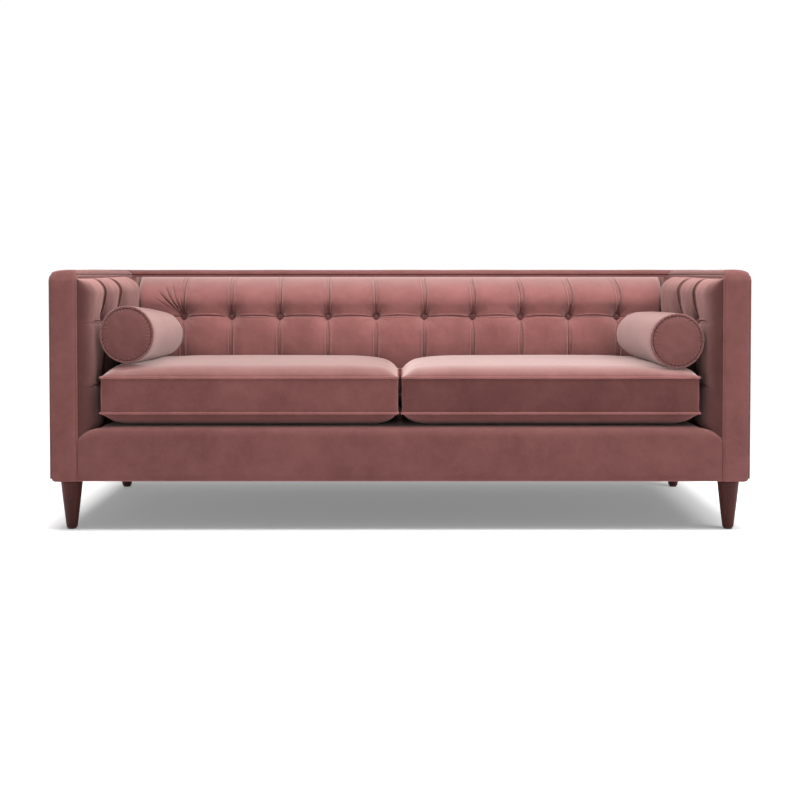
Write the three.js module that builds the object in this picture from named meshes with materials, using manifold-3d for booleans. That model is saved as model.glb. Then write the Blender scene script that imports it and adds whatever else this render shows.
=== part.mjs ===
// A tuxedo sofa: arms and back of one height, a padded band along their top, tufted inner
// faces, two loose boxed seat cushions, two loose bolsters and four tapered legs.
// Millimetres, X to the viewer's right, Y to the back, Z up, origin on the floor at the middle.
import * as THREE from 'three';
import { mergeVertices } from 'three/addons/utils/BufferGeometryUtils.js';
import Module from 'manifold-3d';

const wasm = await Module();
wasm.setup();

// The whole sofa
const overallWidth = 2134;
const overallDepth = 864;
const overallHeight = 803;
const bodyBottom = 153;
const deckHeight = 319;
const armWidth = 85;
const backWidth = 86;
const fit = 0.3; // between pieces that touch
const overrun = 1; // how far a cutting tool runs past what it cuts

// Padded band round the top, with a welt sewn into each edge
const weltRadius = 3.5;
const bandSideHeight = 8;
const topCrown = 24;
const frontCrown = 8;
const bandCornerRadius = 10;
const bottomCornerRadius = 20;

// Outside panels
const panelThickness = 4;
const panelInset = 1;

// Wooden frame
const railThickness = 28;
const topBoardThickness = 22;
const rearPostDepth = 84;
const backUprightWidth = 45;
const backUprightDepth = 34;
const backUprightOffset = 322;
const tackRailHeight = 60;
const centreRailWidth = 44;
const centreRailDrop = 28;
const cornerBlockLength = 92;
const cornerBlockHeight = 45;

// Cloth under the frame
const dustCoverThickness = 0.8;
const dustCoverRecess = 1;

// Seat springs
const springCount = 8;
const springWireRadius = 2;
const springWidth = 50;
const springPitch = 30;
const springCrown = 9;
const springLanding = 4;
const springRiseShare = 0.3;
const tieWireRadius = 2;
const tieWireShares = [0.36, 0.64];

// Deck and front border
const deckPadThickness = 38;
const borderInset = 6;
const borderRollRadius = 30;
const borderEndDip = 36;
const borderDipLength = 120;

// Tufted pads
const armPadThickness = 60;
const armPadTail = 36;
const armPadRoll = 50;
const armPadFrontSetback = 8;
const armSeamDepth = 12;
const armButtonDepth = 26;
const backPadThickness = 153;
const backPadRoll = 74;
const backSeamDepth = 24;
const backButtonDepth = 46;
const padTopDrop = 2;
const padBottomTuck = 34;
const padEdgeShare = 0.3;
const firstRowDrop = 140;
const rowPitch = 202;
const rowSeamShare = 0.45;
const backColumns = 11;
const armTuftShares = [0.29, 0.575];
const dimpleReach = 28;
const buttonRadius = 11;
const buttonHeight = 13;
const buttonSink = 5;
const buttonRimShare = 0.62;
const buttonTopShare = 0.6;

// Seat cushions
const cushionSetback = 12;
const cushionSideGap = 2;
const cushionBackGap = 4;
const cushionBottomRise = 39;
const cushionBoxing = 109;
const cushionCrown = 45;
const cushionCornerRadius = 20;
const cushionPullIn = 7;
const cushionWeltRadius = 3.5;
const cushionUnderInset = 62;
const boxingFullness = 1.5;
const crownFullness = 8;
const crownShares = [0.05, 0.14, 0.3, 0.6];
const crownCornerShare = 0.4;

// Bolsters
const bolsterRadius = 84;
const bolsterBackGap = 59.7;
const bolsterSetback = 60;
const bolsterWeltRadius = 3.5;
const bolsterEndDome = 14;
const bolsterBarrel = 3;

// Legs
const legTopRadius = 32;
const legBottomRadius = 16.5;
const legEdgeChamfer = 2.5;
const legInset = 54;
const glideRadius = 13;
const glideHeight = 4;
const boltRadius = 4;
const boltInLeg = 42;
const boltInFrame = 34;

// Places worked out from the sizes above
const outerX = overallWidth / 2;
const frontY = -overallDepth / 2;
const rearY = overallDepth / 2;
const armInnerX = outerX - armWidth;
const backInnerY = rearY - backWidth;
const frameTop = overallHeight - topCrown - bandSideHeight;
const frameFrontY = frontY + frontCrown + bandSideHeight;
const panelOuterX = outerX - panelInset;
const panelOuterY = rearY - panelInset;
const frameOuterX = panelOuterX - panelThickness - fit;
const frameOuterY = panelOuterY - panelThickness - fit;
const lowerOuterX = panelOuterX - bottomCornerRadius - fit;
const lowerOuterY = panelOuterY - bottomCornerRadius - fit;
const frameInnerX = armInnerX + fit;
const dustCoverBottom = bodyBottom + dustCoverRecess;
const frameBottom = dustCoverBottom + dustCoverThickness + fit;
const railFrontY = frameFrontY + fit;
const railBackY = railFrontY + railThickness;
const padTop = overallHeight - topCrown - padTopDrop;
const padBottom = deckHeight - padBottomTuck;
const upperRow = padTop - firstRowDrop;
const lowerRow = upperRow - rowPitch;
const padBackX = armInnerX - fit;
const padBackY = backInnerY - fit;
const armPadFaceX = padBackX - armPadThickness;
const backPadFaceY = padBackY - backPadThickness;
const deckBottom = deckHeight - deckPadThickness;
const tieWireZ = deckBottom - fit - tieWireRadius;
const springHighZ = tieWireZ - tieWireRadius - fit - springWireRadius;
const springLowZ = springHighZ - springCrown;
const railTop = springLowZ - springWireRadius - fit;

// Materials
const velvet = new THREE.MeshStandardMaterial({ color: 0x9c6663, roughness: 0.85, metalness: 0 });
const legWood = new THREE.MeshStandardMaterial({ color: 0x4a2620, roughness: 0.4, metalness: 0 });
const frameWood = new THREE.MeshStandardMaterial({ color: 0xc9a26b, roughness: 0.8, metalness: 0 });
const steel = new THREE.MeshStandardMaterial({ color: 0x8d9094, roughness: 0.4, metalness: 1 });
const deckCloth = new THREE.MeshStandardMaterial({ color: 0x8a5d5a, roughness: 0.95, metalness: 0 });
const blackCloth = new THREE.MeshStandardMaterial({ color: 0x1b1b1d, roughness: 0.95, metalness: 0 });
const glidePlastic = new THREE.MeshStandardMaterial({ color: 0x2a2a2c, roughness: 0.5, metalness: 0 });

const sofa = new THREE.Group();

// Adds one named piece to the sofa.
function add(name, geometry, material) {
  const mesh = new THREE.Mesh(geometry, material);
  mesh.name = name;
  sofa.add(mesh);
  return mesh;
}

// A closed geometry from points and triangles, turned so that its faces point out.
function closedGeometry(points, triangles) {
  let volume = 0;
  for (const [a, b, c] of triangles) {
    volume += points[a].dot(new THREE.Vector3().crossVectors(points[b], points[c]));
  }
  const index = volume < 0 ? triangles.map(([a, b, c]) => [a, c, b]) : triangles;
  const geometry = new THREE.BufferGeometry().setFromPoints(points);
  geometry.setIndex(index.flat());
  geometry.computeVertexNormals();
  return geometry;
}

// Triangles that fill a flat outline, all turned the way the outline runs.
function fillOutline(outline) {
  const turns = Math.sign(THREE.ShapeUtils.area(outline));
  return THREE.ShapeUtils.triangulateShape(outline, []).map(([a, b, c]) => {
    const turn = THREE.ShapeUtils.area([outline[a], outline[b], outline[c]]);
    return Math.sign(turn) === turns ? [a, b, c] : [a, c, b];
  });
}

// Joins rings of points into one closed surface. A cap is a list of triangles, or the point
// that closes the ring.
function loft(rings, startCap, endCap) {
  const count = rings[0].length;
  const points = rings.flat();
  const triangles = [];
  for (let ring = 0; ring < rings.length - 1; ring++) {
    for (let i = 0; i < count; i++) {
      const near = ring * count;
      const far = near + count;
      const next = (i + 1) % count;
      triangles.push([near + i, near + next, far + next], [near + i, far + next, far + i]);
    }
  }
  const last = (rings.length - 1) * count;
  for (const [cap, first, start] of [[startCap, 0, true], [endCap, last, false]]) {
    let fan = cap;
    if (cap.isVector3) {
      const pole = points.push(cap) - 1 - first;
      fan = rings[0].map((_, i) => [i, (i + 1) % count, pole]);
    }
    for (const [a, b, c] of fan) {
      triangles.push(start ? [first + a, first + c, first + b] : [first + a, first + b, first + c]);
    }
  }
  return closedGeometry(points, triangles);
}

// A board between two corners.
function board(from, to) {
  const geometry = new THREE.BoxGeometry(...to.map((high, axis) => high - from[axis]));
  return geometry.translate(...to.map((high, axis) => (high + from[axis]) / 2));
}

// The same board on the sofa's left or right, from sizes measured outwards from the middle.
function sideBoard(side, from, to) {
  return side > 0 ? board(from, to) : board([-to[0], from[1], from[2]], [-from[0], to[1], to[2]]);
}

// A wire of square section that is mitred at each point of its path and lies flat.
function wire(path, radius) {
  const up = new THREE.Vector3(0, 0, radius);
  const rings = path.map((point, i) => {
    const before = path[Math.max(i - 1, 0)];
    const after = path[Math.min(i + 1, path.length - 1)];
    const into = new THREE.Vector3().subVectors(i ? point : after, i ? before : point).normalize();
    const along = new THREE.Vector3().subVectors(after, before).normalize();
    const across = new THREE.Vector3(-along.y, along.x, 0).normalize();
    across.multiplyScalar(radius / Math.max(into.dot(along), Math.SQRT1_2));
    return [[1, 1], [-1, 1], [-1, -1], [1, -1]].map(([a, b]) =>
      point.clone().addScaledVector(across, a).addScaledVector(up, b));
  });
  const square = [[0, 1, 2], [0, 2, 3]];
  return loft(rings, square, square);
}

// A geometry as a solid that can be cut or joined.
function toSolid(geometry) {
  const bare = new THREE.BufferGeometry();
  bare.setAttribute('position', geometry.getAttribute('position'));
  bare.setIndex(geometry.index);
  const merged = mergeVertices(bare);
  return new wasm.Manifold(new wasm.Mesh({
    numProp: 3,
    vertProperties: merged.getAttribute('position').array,
    triVerts: new Uint32Array(merged.index.array),
  }));
}

// A solid as a geometry again.
function toGeometry(solid) {
  const mesh = solid.getMesh();
  const geometry = new THREE.BufferGeometry();
  geometry.setAttribute('position', new THREE.BufferAttribute(new Float32Array(mesh.vertProperties), 3));
  geometry.setIndex(new THREE.BufferAttribute(new Uint32Array(mesh.triVerts), 1));
  geometry.computeVertexNormals();
  return geometry;
}

// Smooth step from 0 to 1 while t goes from 0 to 1.
function smooth(t) {
  const x = THREE.MathUtils.clamp(t, 0, 1);
  return x * x * (3 - 2 * x);
}

// The band's section: across its width, and out from the frame. A round welt stands at each
// edge, and the padding between them is crowned.
function bandSection(width, crown) {
  const weltSteps = 4;
  const crownSteps = 8;
  const section = [new THREE.Vector2(0, 0)];
  const welt = (centre) => {
    for (let i = 0; i <= weltSteps; i++) {
      const angle = Math.PI * (1 - i / weltSteps);
      section.push(new THREE.Vector2(
        centre + weltRadius * Math.cos(angle), bandSideHeight + weltRadius * Math.sin(angle)));
    }
  };
  welt(weltRadius);
  for (let i = 1; i < crownSteps; i++) {
    const t = i / crownSteps;
    const rise = crown * Math.sqrt(Math.sin(Math.PI * t));
    section.push(new THREE.Vector2(
      2 * weltRadius + t * (width - 4 * weltRadius), bandSideHeight + rise));
  }
  welt(width - weltRadius);
  section.push(new THREE.Vector2(width, 0));
  return section;
}

// The band of one arm: up the front, round the corner and back to the mitre.
function armBand(side) {
  const cornerSteps = 6;
  const cap = fillOutline(bandSection(armWidth, topCrown));
  const place = (across, y, z) => new THREE.Vector3(side * (armInnerX + across), y, z);
  const rings = [];
  rings.push(bandSection(armWidth, frontCrown).map(({ x, y }) => {
    const past = Math.max(x - (armWidth - bottomCornerRadius), 0);
    const lift = bottomCornerRadius - Math.sqrt(bottomCornerRadius ** 2 - past ** 2);
    return place(x, frameFrontY - y, bodyBottom + lift);
  }));
  for (let i = 0; i <= cornerSteps; i++) {
    const turn = (Math.PI / 2) * (i / cornerSteps);
    const crown = THREE.MathUtils.lerp(frontCrown, topCrown, smooth(i / cornerSteps) ** 2);
    const out = [-Math.cos(turn), Math.sin(turn)];
    rings.push(bandSection(armWidth, crown).map(({ x, y }) => place(
      x,
      frameFrontY + bandCornerRadius + out[0] * (bandCornerRadius + y),
      frameTop - bandCornerRadius + out[1] * (bandCornerRadius + y))));
  }
  rings.push(bandSection(armWidth, topCrown).map(({ x, y }) => place(
    x, backInnerY - fit + backWidth * (x / armWidth), frameTop + y)));
  return loft(rings, cap, cap);
}

// The band along the back, mitred at both ends.
function backBand() {
  const section = bandSection(backWidth, topCrown);
  const cap = fillOutline(section);
  const end = (side) => section.map(({ x, y }) => new THREE.Vector3(
    side * (armInnerX - fit + armWidth * (x / backWidth)), backInnerY + x, frameTop + y));
  return loft([end(-1), end(1)], cap, cap);
}

add('left_arm_band', armBand(-1), velvet);
add('right_arm_band', armBand(1), velvet);
add('back_band', backBand(), velvet);

// The section of an outside panel: down the side, then rolled under the frame. Its first
// size is how far a point lies inside the panel's outer face, its second is the height.
function rolledSection() {
  const steps = 6;
  const outline = [new THREE.Vector2(0, frameTop - fit)];
  const arc = (radius, from, to) => {
    for (let i = 0; i <= steps; i++) {
      const angle = THREE.MathUtils.lerp(from, to, i / steps);
      outline.push(new THREE.Vector2(
        bottomCornerRadius - radius * Math.cos(angle),
        bodyBottom + bottomCornerRadius - radius * Math.sin(angle)));
    }
  };
  arc(bottomCornerRadius, 0, Math.PI / 2);
  arc(bottomCornerRadius - panelThickness, Math.PI / 2, 0);
  outline.push(new THREE.Vector2(panelThickness, frameTop - fit));
  return outline;
}

// An outside panel: the rolled section carried from one end to the other.
function rolledPanel(start, end) {
  const section = rolledSection();
  const cap = fillOutline(section);
  return loft([start, end].map((place) => section.map(({ x, y }) => place(x, y))), cap, cap);
}

add('outside_back_panel', rolledPanel(
  (inside, z) => new THREE.Vector3(inside + fit - panelOuterX, panelOuterY - inside, z),
  (inside, z) => new THREE.Vector3(panelOuterX - inside - fit, panelOuterY - inside, z)), velvet);

// The side panels' top front corner is round, as the band is there.
const sideOutline = new THREE.Shape();
sideOutline.moveTo(railFrontY, bodyBottom - overrun);
sideOutline.lineTo(rearY, bodyBottom - overrun);
sideOutline.lineTo(rearY, frameTop - fit);
sideOutline.absarc(frameFrontY + bandCornerRadius, frameTop - bandCornerRadius,
  bandCornerRadius - fit, Math.PI / 2, Math.PI, false);
sideOutline.closePath();
const sidePlate = new THREE.ExtrudeGeometry(sideOutline, {
  depth: overallWidth, bevelEnabled: false, curveSegments: 6,
}).translate(0, 0, -outerX);
sidePlate.applyMatrix4(new THREE.Matrix4().set(0, 0, 1, 0, 1, 0, 0, 0, 0, 1, 0, 0, 0, 0, 0, 1));
for (const [side, name] of [[-1, 'left'], [1, 'right']]) {
  const panel = rolledPanel(
    (inside, z) => new THREE.Vector3(side * (panelOuterX - inside), railFrontY, z),
    (inside, z) => new THREE.Vector3(
      side * (panelOuterX - inside), panelOuterY - inside - fit, z));
  const cut = toSolid(panel).intersect(toSolid(sidePlate));
  add(`${name}_outside_panel`, toGeometry(cut), velvet);
}

// Wooden frame: posts that stand on the corner blocks, rails between them and boards on top.
const topBoardBottom = frameTop - fit - topBoardThickness;
const postBottom = frameBottom + cornerBlockHeight + fit;
const postTop = topBoardBottom - fit;
const rearPostFrontY = lowerOuterY - rearPostDepth;
const seatRailTop = padBottom - fit;

add('front_seat_rail', board(
  [-armInnerX, railFrontY, frameBottom], [armInnerX, railBackY, railTop]), frameWood);
add('back_seat_rail', board(
  [-armInnerX, backInnerY, frameBottom],
  [armInnerX, backInnerY + railThickness, railTop]), frameWood);
add('centre_seat_rail', board(
  [-centreRailWidth / 2, railBackY + fit, frameBottom],
  [centreRailWidth / 2, backInnerY - fit, railTop - centreRailDrop]), frameWood);
add('back_tack_rail', board(
  [-armInnerX, backInnerY, padBottom],
  [armInnerX, backInnerY + railThickness, padBottom + tackRailHeight]), frameWood);
add('back_top_board', board(
  [-frameOuterX, backInnerY, topBoardBottom],
  [frameOuterX, frameOuterY, frameTop - fit]), frameWood);
for (const [side, name] of [[-1, 'left'], [1, 'right']]) {
  add(`${name}_arm_front_post`, sideBoard(side,
    [frameInnerX, railFrontY, postBottom], [lowerOuterX, railBackY, postTop]), frameWood);
  add(`${name}_rear_post`, sideBoard(side,
    [frameInnerX, rearPostFrontY, postBottom], [lowerOuterX, lowerOuterY, postTop]), frameWood);
  add(`${name}_arm_top_board`, sideBoard(side,
    [armInnerX, railFrontY + bandCornerRadius, topBoardBottom],
    [frameOuterX, backInnerY - fit, frameTop - fit]), frameWood);
  add(`${name}_arm_tack_rail`, sideBoard(side,
    [armInnerX, railBackY + fit, padBottom],
    [armInnerX + railThickness, rearPostFrontY - fit, padBottom + tackRailHeight]), frameWood);
  add(`back_upright_${name}`, sideBoard(side,
    [backUprightOffset - backUprightWidth / 2, backInnerY, padBottom + tackRailHeight + fit],
    [backUprightOffset + backUprightWidth / 2, backInnerY + backUprightDepth, postTop]),
  frameWood);
}

// The boards that carry the legs stand in the corners under the posts, and the side rails
// are notched over them.
const blockPlaces = [
  ['front', railFrontY, frontY + legInset],
  ['rear', lowerOuterY - cornerBlockLength, rearY - legInset],
];
for (const [side, name] of [[-1, 'left'], [1, 'right']]) {
  let rail = toSolid(sideBoard(side,
    [lowerOuterX - railThickness, railBackY + fit, frameBottom],
    [lowerOuterX, rearPostFrontY - fit, seatRailTop]));
  for (const [, blockY] of blockPlaces) {
    rail = rail.subtract(toSolid(sideBoard(side,
      [frameInnerX - overrun, blockY - fit, frameBottom - overrun],
      [lowerOuterX + overrun, blockY + cornerBlockLength + fit, postBottom])));
  }
  add(`${name}_seat_rail`, toGeometry(rail), frameWood);
}

// A plain cylinder that stands on z.
function upright(radius, x, y, from, to, sides) {
  const geometry = new THREE.CylinderGeometry(radius, radius, to - from, sides);
  return geometry.rotateX(Math.PI / 2).translate(x, y, (from + to) / 2);
}

// A tapered leg with the hole for its bolt in the top.
function leg(x, y) {
  const sides = 20;
  const top = dustCoverBottom - fit;
  const profile = [
    [0, top - boltInLeg - fit],
    [boltRadius + fit, top - boltInLeg - fit],
    [boltRadius + fit, top],
    [legTopRadius - legEdgeChamfer, top],
    [legTopRadius, top - legEdgeChamfer],
    [legBottomRadius, glideHeight + fit + legEdgeChamfer],
    [legBottomRadius - legEdgeChamfer, glideHeight + fit],
    [0, glideHeight + fit],
  ].reverse().map(([radius, z]) => new THREE.Vector2(radius, z));
  const geometry = new THREE.LatheGeometry(profile, sides);
  return toGeometry(toSolid(geometry.rotateX(Math.PI / 2).translate(x, y, 0)));
}

// Each corner: the block, the leg, its bolt and its glide.
const boltSides = 10;
const boreSides = 20;
const legPlaces = [];
for (const [end, blockY, legY] of blockPlaces) {
  for (const [side, name] of [[-1, 'left'], [1, 'right']]) {
    const legX = side * (outerX - legInset);
    const where = `${end}_${name}`;
    legPlaces.push([legX, legY]);
    const block = toSolid(sideBoard(side,
      [frameInnerX, blockY, frameBottom],
      [lowerOuterX, blockY + cornerBlockLength, frameBottom + cornerBlockHeight]));
    const bore = toSolid(upright(boltRadius + fit, legX, legY,
      frameBottom - overrun, frameBottom + boltInFrame + fit, boreSides));
    add(`corner_block_${where}`, toGeometry(block.subtract(bore)), frameWood);
    add(`leg_${where}`, leg(legX, legY), legWood);
    add(`leg_bolt_${where}`, upright(boltRadius, legX, legY,
      dustCoverBottom - fit - boltInLeg, frameBottom + boltInFrame, boltSides), steel);
    add(`glide_${where}`, upright(glideRadius, legX, legY, 0, glideHeight, boreSides), glidePlastic);
  }
}

// The thin cloth stapled under the frame, with a hole round each bolt.
const coverShape = new THREE.Shape([
  new THREE.Vector2(-lowerOuterX, railFrontY), new THREE.Vector2(lowerOuterX, railFrontY),
  new THREE.Vector2(lowerOuterX, lowerOuterY), new THREE.Vector2(-lowerOuterX, lowerOuterY),
]);
for (const [x, y] of legPlaces) {
  coverShape.holes.push(new THREE.Path().absarc(x, y, boltRadius + fit, 0, 2 * Math.PI, true));
}
const coverGeometry = new THREE.ExtrudeGeometry(coverShape, {
  depth: dustCoverThickness, bevelEnabled: false, curveSegments: boltSides,
});
add('dust_cover', coverGeometry.translate(0, 0, dustCoverBottom), blackCloth);

// Seat springs: wires bent to and fro, low on the rails and higher between them.
const springFrontY = railBackY - springLanding;
const springRearY = backInnerY + springLanding;
const springBars = Math.round((springRearY - springFrontY) / springPitch);
for (let spring = 0; spring < springCount; spring++) {
  const middleX = ((2 * spring + 1) / springCount - 1) * armPadFaceX;
  const path = [];
  for (let bar = 0; bar <= springBars; bar++) {
    const share = bar / springBars;
    const y = THREE.MathUtils.lerp(springFrontY, springRearY, share);
    const rise = smooth(Math.min(share, 1 - share) / springRiseShare);
    const z = THREE.MathUtils.lerp(springLowZ, springHighZ, rise);
    const turn = bar % 2 ? springWidth / 2 : -springWidth / 2;
    path.push(new THREE.Vector3(middleX + turn, y, z), new THREE.Vector3(middleX - turn, y, z));
  }
  add(`seat_spring_${spring + 1}`, wire(path, springWireRadius), steel);
}
tieWireShares.forEach((share, i) => {
  const y = THREE.MathUtils.lerp(springFrontY, springRearY, share);
  add(`spring_tie_wire_${i ? 'back' : 'front'}`, wire([
    new THREE.Vector3(fit - armPadFaceX, y, tieWireZ),
    new THREE.Vector3(armPadFaceX - fit, y, tieWireZ),
  ], tieWireRadius), steel);
});

// The seat's deck and the padded border that rolls over the front rail.
const borderFrontY = frontY + borderInset;
const borderBackY = borderFrontY + borderRollRadius;
add('deck_pad', board(
  [fit - armPadFaceX, borderBackY + fit, deckBottom],
  [armPadFaceX - fit, backPadFaceY - fit, deckHeight]), deckCloth);

// The border's section at one place along it, with its top rounding down to the arms. It can
// be made larger all round by a clearance, to cut what sits on it.
function borderSection(x, clearance) {
  const steps = 7;
  const base = railTop + fit;
  const pastStart = Math.max(Math.abs(x) - (armInnerX - borderDipLength), 0);
  const dip = borderEndDip * (1 - Math.sqrt(Math.max(1 - (pastStart / borderDipLength) ** 2, 0)));
  const lift = (z) => base + (z - base) * ((deckHeight - dip - base) / (deckHeight - base));
  const outline = [
    [frameFrontY + clearance, bodyBottom - clearance],
    [borderFrontY - clearance, bodyBottom - clearance],
    [borderFrontY - clearance, base],
  ];
  for (let i = 0; i <= steps; i++) {
    const angle = (Math.PI / 2) * (i / steps);
    outline.push([
      borderBackY - (borderRollRadius + clearance) * Math.cos(angle),
      clearance + lift(deckHeight - borderRollRadius * (1 - Math.sin(angle)))]);
  }
  outline.push(
    [borderBackY + clearance, deckHeight - dip + clearance],
    [borderBackY + clearance, base - clearance],
    [frameFrontY + clearance, base - clearance]);
  return outline.map(([y, z]) => new THREE.Vector2(y, z));
}

// The border from one arm to the other.
function borderRun(clearance) {
  const dipSteps = 6;
  const half = [];
  for (let i = 0; i <= dipSteps; i++) {
    const turn = (Math.PI / 2) * (i / dipSteps);
    half.push(armInnerX - fit - borderDipLength * (1 - Math.sin(turn)));
  }
  const stations = [...half.map((x) => -x).reverse(), ...half];
  const cap = fillOutline(borderSection(armInnerX, clearance));
  return loft(stations.map((x) => borderSection(x, clearance)
    .map((point) => new THREE.Vector3(x, point.x, point.y))), cap, cap);
}
add('front_border', borderRun(0), velvet);

// How much of its fullness a pad has at a distance from its edge.
function edgeShare(distance, roll, lowest) {
  const inside = THREE.MathUtils.clamp(distance / roll, 0, 1);
  return lowest + (1 - lowest) * Math.sqrt(1 - (1 - inside) ** 2);
}

// How full a panel is between two seams.
function pillow(t) {
  return Math.sqrt(Math.sin(Math.PI * THREE.MathUtils.clamp(t, 0, 1)));
}

// Where a value lies between two of the lines round it.
function shareBetween(lines, value) {
  const next = Math.max(1, lines.findIndex((line) => line > value));
  return (value - lines[next - 1]) / (lines[next] - lines[next - 1]);
}

// Lines across a run of panels, close together at the seams.
function gridLines(seams, shares) {
  const lines = seams.slice(0, -1).flatMap((seam, i) =>
    shares.map((share) => THREE.MathUtils.lerp(seam, seams[i + 1], share)));
  return [...lines, seams.at(-1)];
}

// A covered button, its top towards z.
function button() {
  const sides = 7;
  const profile = [
    [0, -buttonSink],
    [buttonRadius, -buttonSink],
    [buttonRadius, buttonHeight * buttonRimShare],
    [buttonRadius * buttonTopShare, buttonHeight],
    [0, buttonHeight],
  ].map(([radius, z]) => new THREE.Vector2(radius, z));
  return new THREE.LatheGeometry(profile, sides).rotateX(Math.PI / 2);
}

// A tufted pad on a flat back. Seams run up it through each column of buttons and across it
// through each row, and every button draws a dimple. fullness gives how much of its
// thickness a place has, and place turns along, up and out into the sofa's own directions.
function tuftedPad(options) {
  const { columns, end, rows, body, seamDepth, buttonDepth, fullness, place, facing } = options;
  const seamShares = [0, 0.12, 0.36, 0.64, 0.88];
  const foldShares = [0, 0.16, 0.5, 0.84];
  const along = gridLines(columns, seamShares);
  if (end !== undefined) along.push(end);
  const up = gridLines(rows, foldShares);
  const buttonColumns = columns.slice(1, -1);
  const buttonRows = rows.slice(1, -1);
  const thickness = (u, v) => {
    const seam = 1 - (u < columns.at(-1) ? pillow(shareBetween(columns, u)) : 0);
    const nearRow = Math.min(...buttonRows.map((row) => Math.abs(row - v)));
    const fold = rowSeamShare * (1 - pillow(Math.min(nearRow / rowPitch, 1 / 2)));
    const nearest = Math.min(...buttonColumns.flatMap((column) =>
      buttonRows.map((row) => Math.hypot(column - u, row - v))));
    const dimple = Math.exp(-((nearest / dimpleReach) ** 2));
    const drawn = seamDepth * (seam + fold);
    const deepest = seamDepth * (1 + rowSeamShare);
    return fullness(u, v) * (body - drawn - (buttonDepth - deepest) * dimple);
  };
  const surface = up.map((v) => along.map((u) => place(u, v, thickness(u, v))));
  const points = surface.flat();
  const across = along.length;
  const triangles = [];
  for (let row = 0; row < up.length - 1; row++) {
    for (let column = 0; column < across - 1; column++) {
      const low = row * across + column;
      const high = low + across;
      triangles.push([low, low + 1, high + 1], [low, high + 1, high]);
    }
  }
  const rim = [];
  along.forEach((_, i) => rim.push([i, 0]));
  up.slice(1).forEach((_, i) => rim.push([across - 1, i + 1]));
  along.slice(1).forEach((_, i) => rim.push([across - 2 - i, up.length - 1]));
  up.slice(1, -1).forEach((_, i) => rim.push([0, up.length - 2 - i]));
  const firstBack = points.length;
  rim.forEach(([i, j]) => points.push(place(along[i], up[j], 0)));
  const middle = points.push(place(
    (along[0] + along.at(-1)) / 2, (up[0] + up.at(-1)) / 2, 0)) - 1;
  rim.forEach(([i, j], k) => {
    const next = (k + 1) % rim.length;
    const front = j * across + i;
    const frontNext = rim[next][1] * across + rim[next][0];
    triangles.push([front, firstBack + k, firstBack + next], [front, firstBack + next, frontNext]);
    triangles.push([firstBack + next, firstBack + k, middle]);
  });
  let pad = toSolid(closedGeometry(points, triangles));
  for (const column of buttonColumns) {
    for (const row of buttonRows) {
      const seat = place(column, row, thickness(column, row));
      const turned = new THREE.Object3D();
      turned.position.copy(seat);
      turned.lookAt(seat.clone().add(facing));
      turned.updateMatrix();
      pad = pad.add(toSolid(button().applyMatrix4(turned.matrix)));
    }
  }
  return pad;
}

// The arm pads run from the front to the back pad, and a thinner tail goes on behind it.
// Their lower front sits on the border's rounded ends.
const padRows = [padBottom, lowerRow, upperRow, padTop];
const borderCutter = toSolid(borderRun(fit));
const armPadFrontY = frontY + armPadFrontSetback;
const armPadRearY = backPadFaceY - fit;
const armColumns = [0, ...armTuftShares, 1].map((share) =>
  THREE.MathUtils.lerp(armPadFrontY, armPadRearY, share));
for (const [side, name] of [[-1, 'left'], [1, 'right']]) {
  const pad = tuftedPad({
    columns: armColumns,
    end: padBackY,
    rows: padRows,
    body: armPadThickness,
    seamDepth: armSeamDepth,
    buttonDepth: armButtonDepth,
    fullness: (y, z) =>
      edgeShare(y - armPadFrontY, armPadRoll, padEdgeShare)
      * edgeShare(armPadRearY - y, armPadRoll, armPadTail / armPadThickness)
      * edgeShare(padTop - z, armPadRoll, padEdgeShare)
      * edgeShare(z - padBottom, armPadRoll, padEdgeShare),
    place: (y, z, out) => new THREE.Vector3(side * (padBackX - out), y, z),
    facing: new THREE.Vector3(-side, 0, 0),
  });
  add(`${name}_arm_pad`, toGeometry(pad.subtract(borderCutter)), velvet);
}

// The back pad fills the width between the tails.
const backPadHalf = padBackX - armPadTail - fit;
const backSeams = Array.from({ length: backColumns + 1 }, (_, i) =>
  THREE.MathUtils.lerp(-backPadHalf, backPadHalf, i / backColumns));
add('back_pad', toGeometry(tuftedPad({
  columns: backSeams,
  rows: padRows,
  body: backPadThickness,
  seamDepth: backSeamDepth,
  buttonDepth: backButtonDepth,
  fullness: (x, z) =>
    edgeShare(backPadHalf - Math.abs(x), backPadRoll, padEdgeShare)
    * edgeShare(padTop - z, backPadRoll, padEdgeShare)
    * edgeShare(z - padBottom, backPadRoll, padEdgeShare),
  place: (x, z, out) => new THREE.Vector3(x, padBackY - out, z),
  facing: new THREE.Vector3(0, -1, 0),
})), velvet);

// A cushion's outline seen from above: a rounded rectangle whose sides are drawn in between
// the corners.
function cushionOutline(halfX, halfY, radius, pullIn) {
  const cornerSteps = 4;
  const outline = [];
  const corners = [[1, 1, 4], [-1, 1, 6], [-1, -1, 4], [1, -1, 6]];
  corners.forEach(([signX, signY], corner) => {
    const centre = new THREE.Vector2(signX * (halfX - radius), signY * (halfY - radius));
    for (let i = 0; i <= cornerSteps; i++) {
      const angle = (Math.PI / 2) * (corner + i / cornerSteps);
      outline.push(new THREE.Vector2(
        centre.x + radius * Math.cos(angle), centre.y + radius * Math.sin(angle)));
    }
    const [nextX, nextY] = corners[(corner + 1) % corners.length];
    const sidePoints = corner % 2 ? 4 : 7;
    const from = outline.at(-1);
    const nextCentre = new THREE.Vector2(nextX * (halfX - radius), nextY * (halfY - radius));
    const outwards = new THREE.Vector2(
      Math.round(Math.cos((corner + 1) * Math.PI / 2)),
      Math.round(Math.sin((corner + 1) * Math.PI / 2)));
    const to = nextCentre.addScaledVector(outwards, radius);
    for (let i = 1; i < sidePoints; i++) {
      const share = i / sidePoints;
      outline.push(from.clone().lerp(to, share)
        .addScaledVector(outwards, -pullIn * Math.sin(Math.PI * share)));
    }
  });
  return outline;
}

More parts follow.
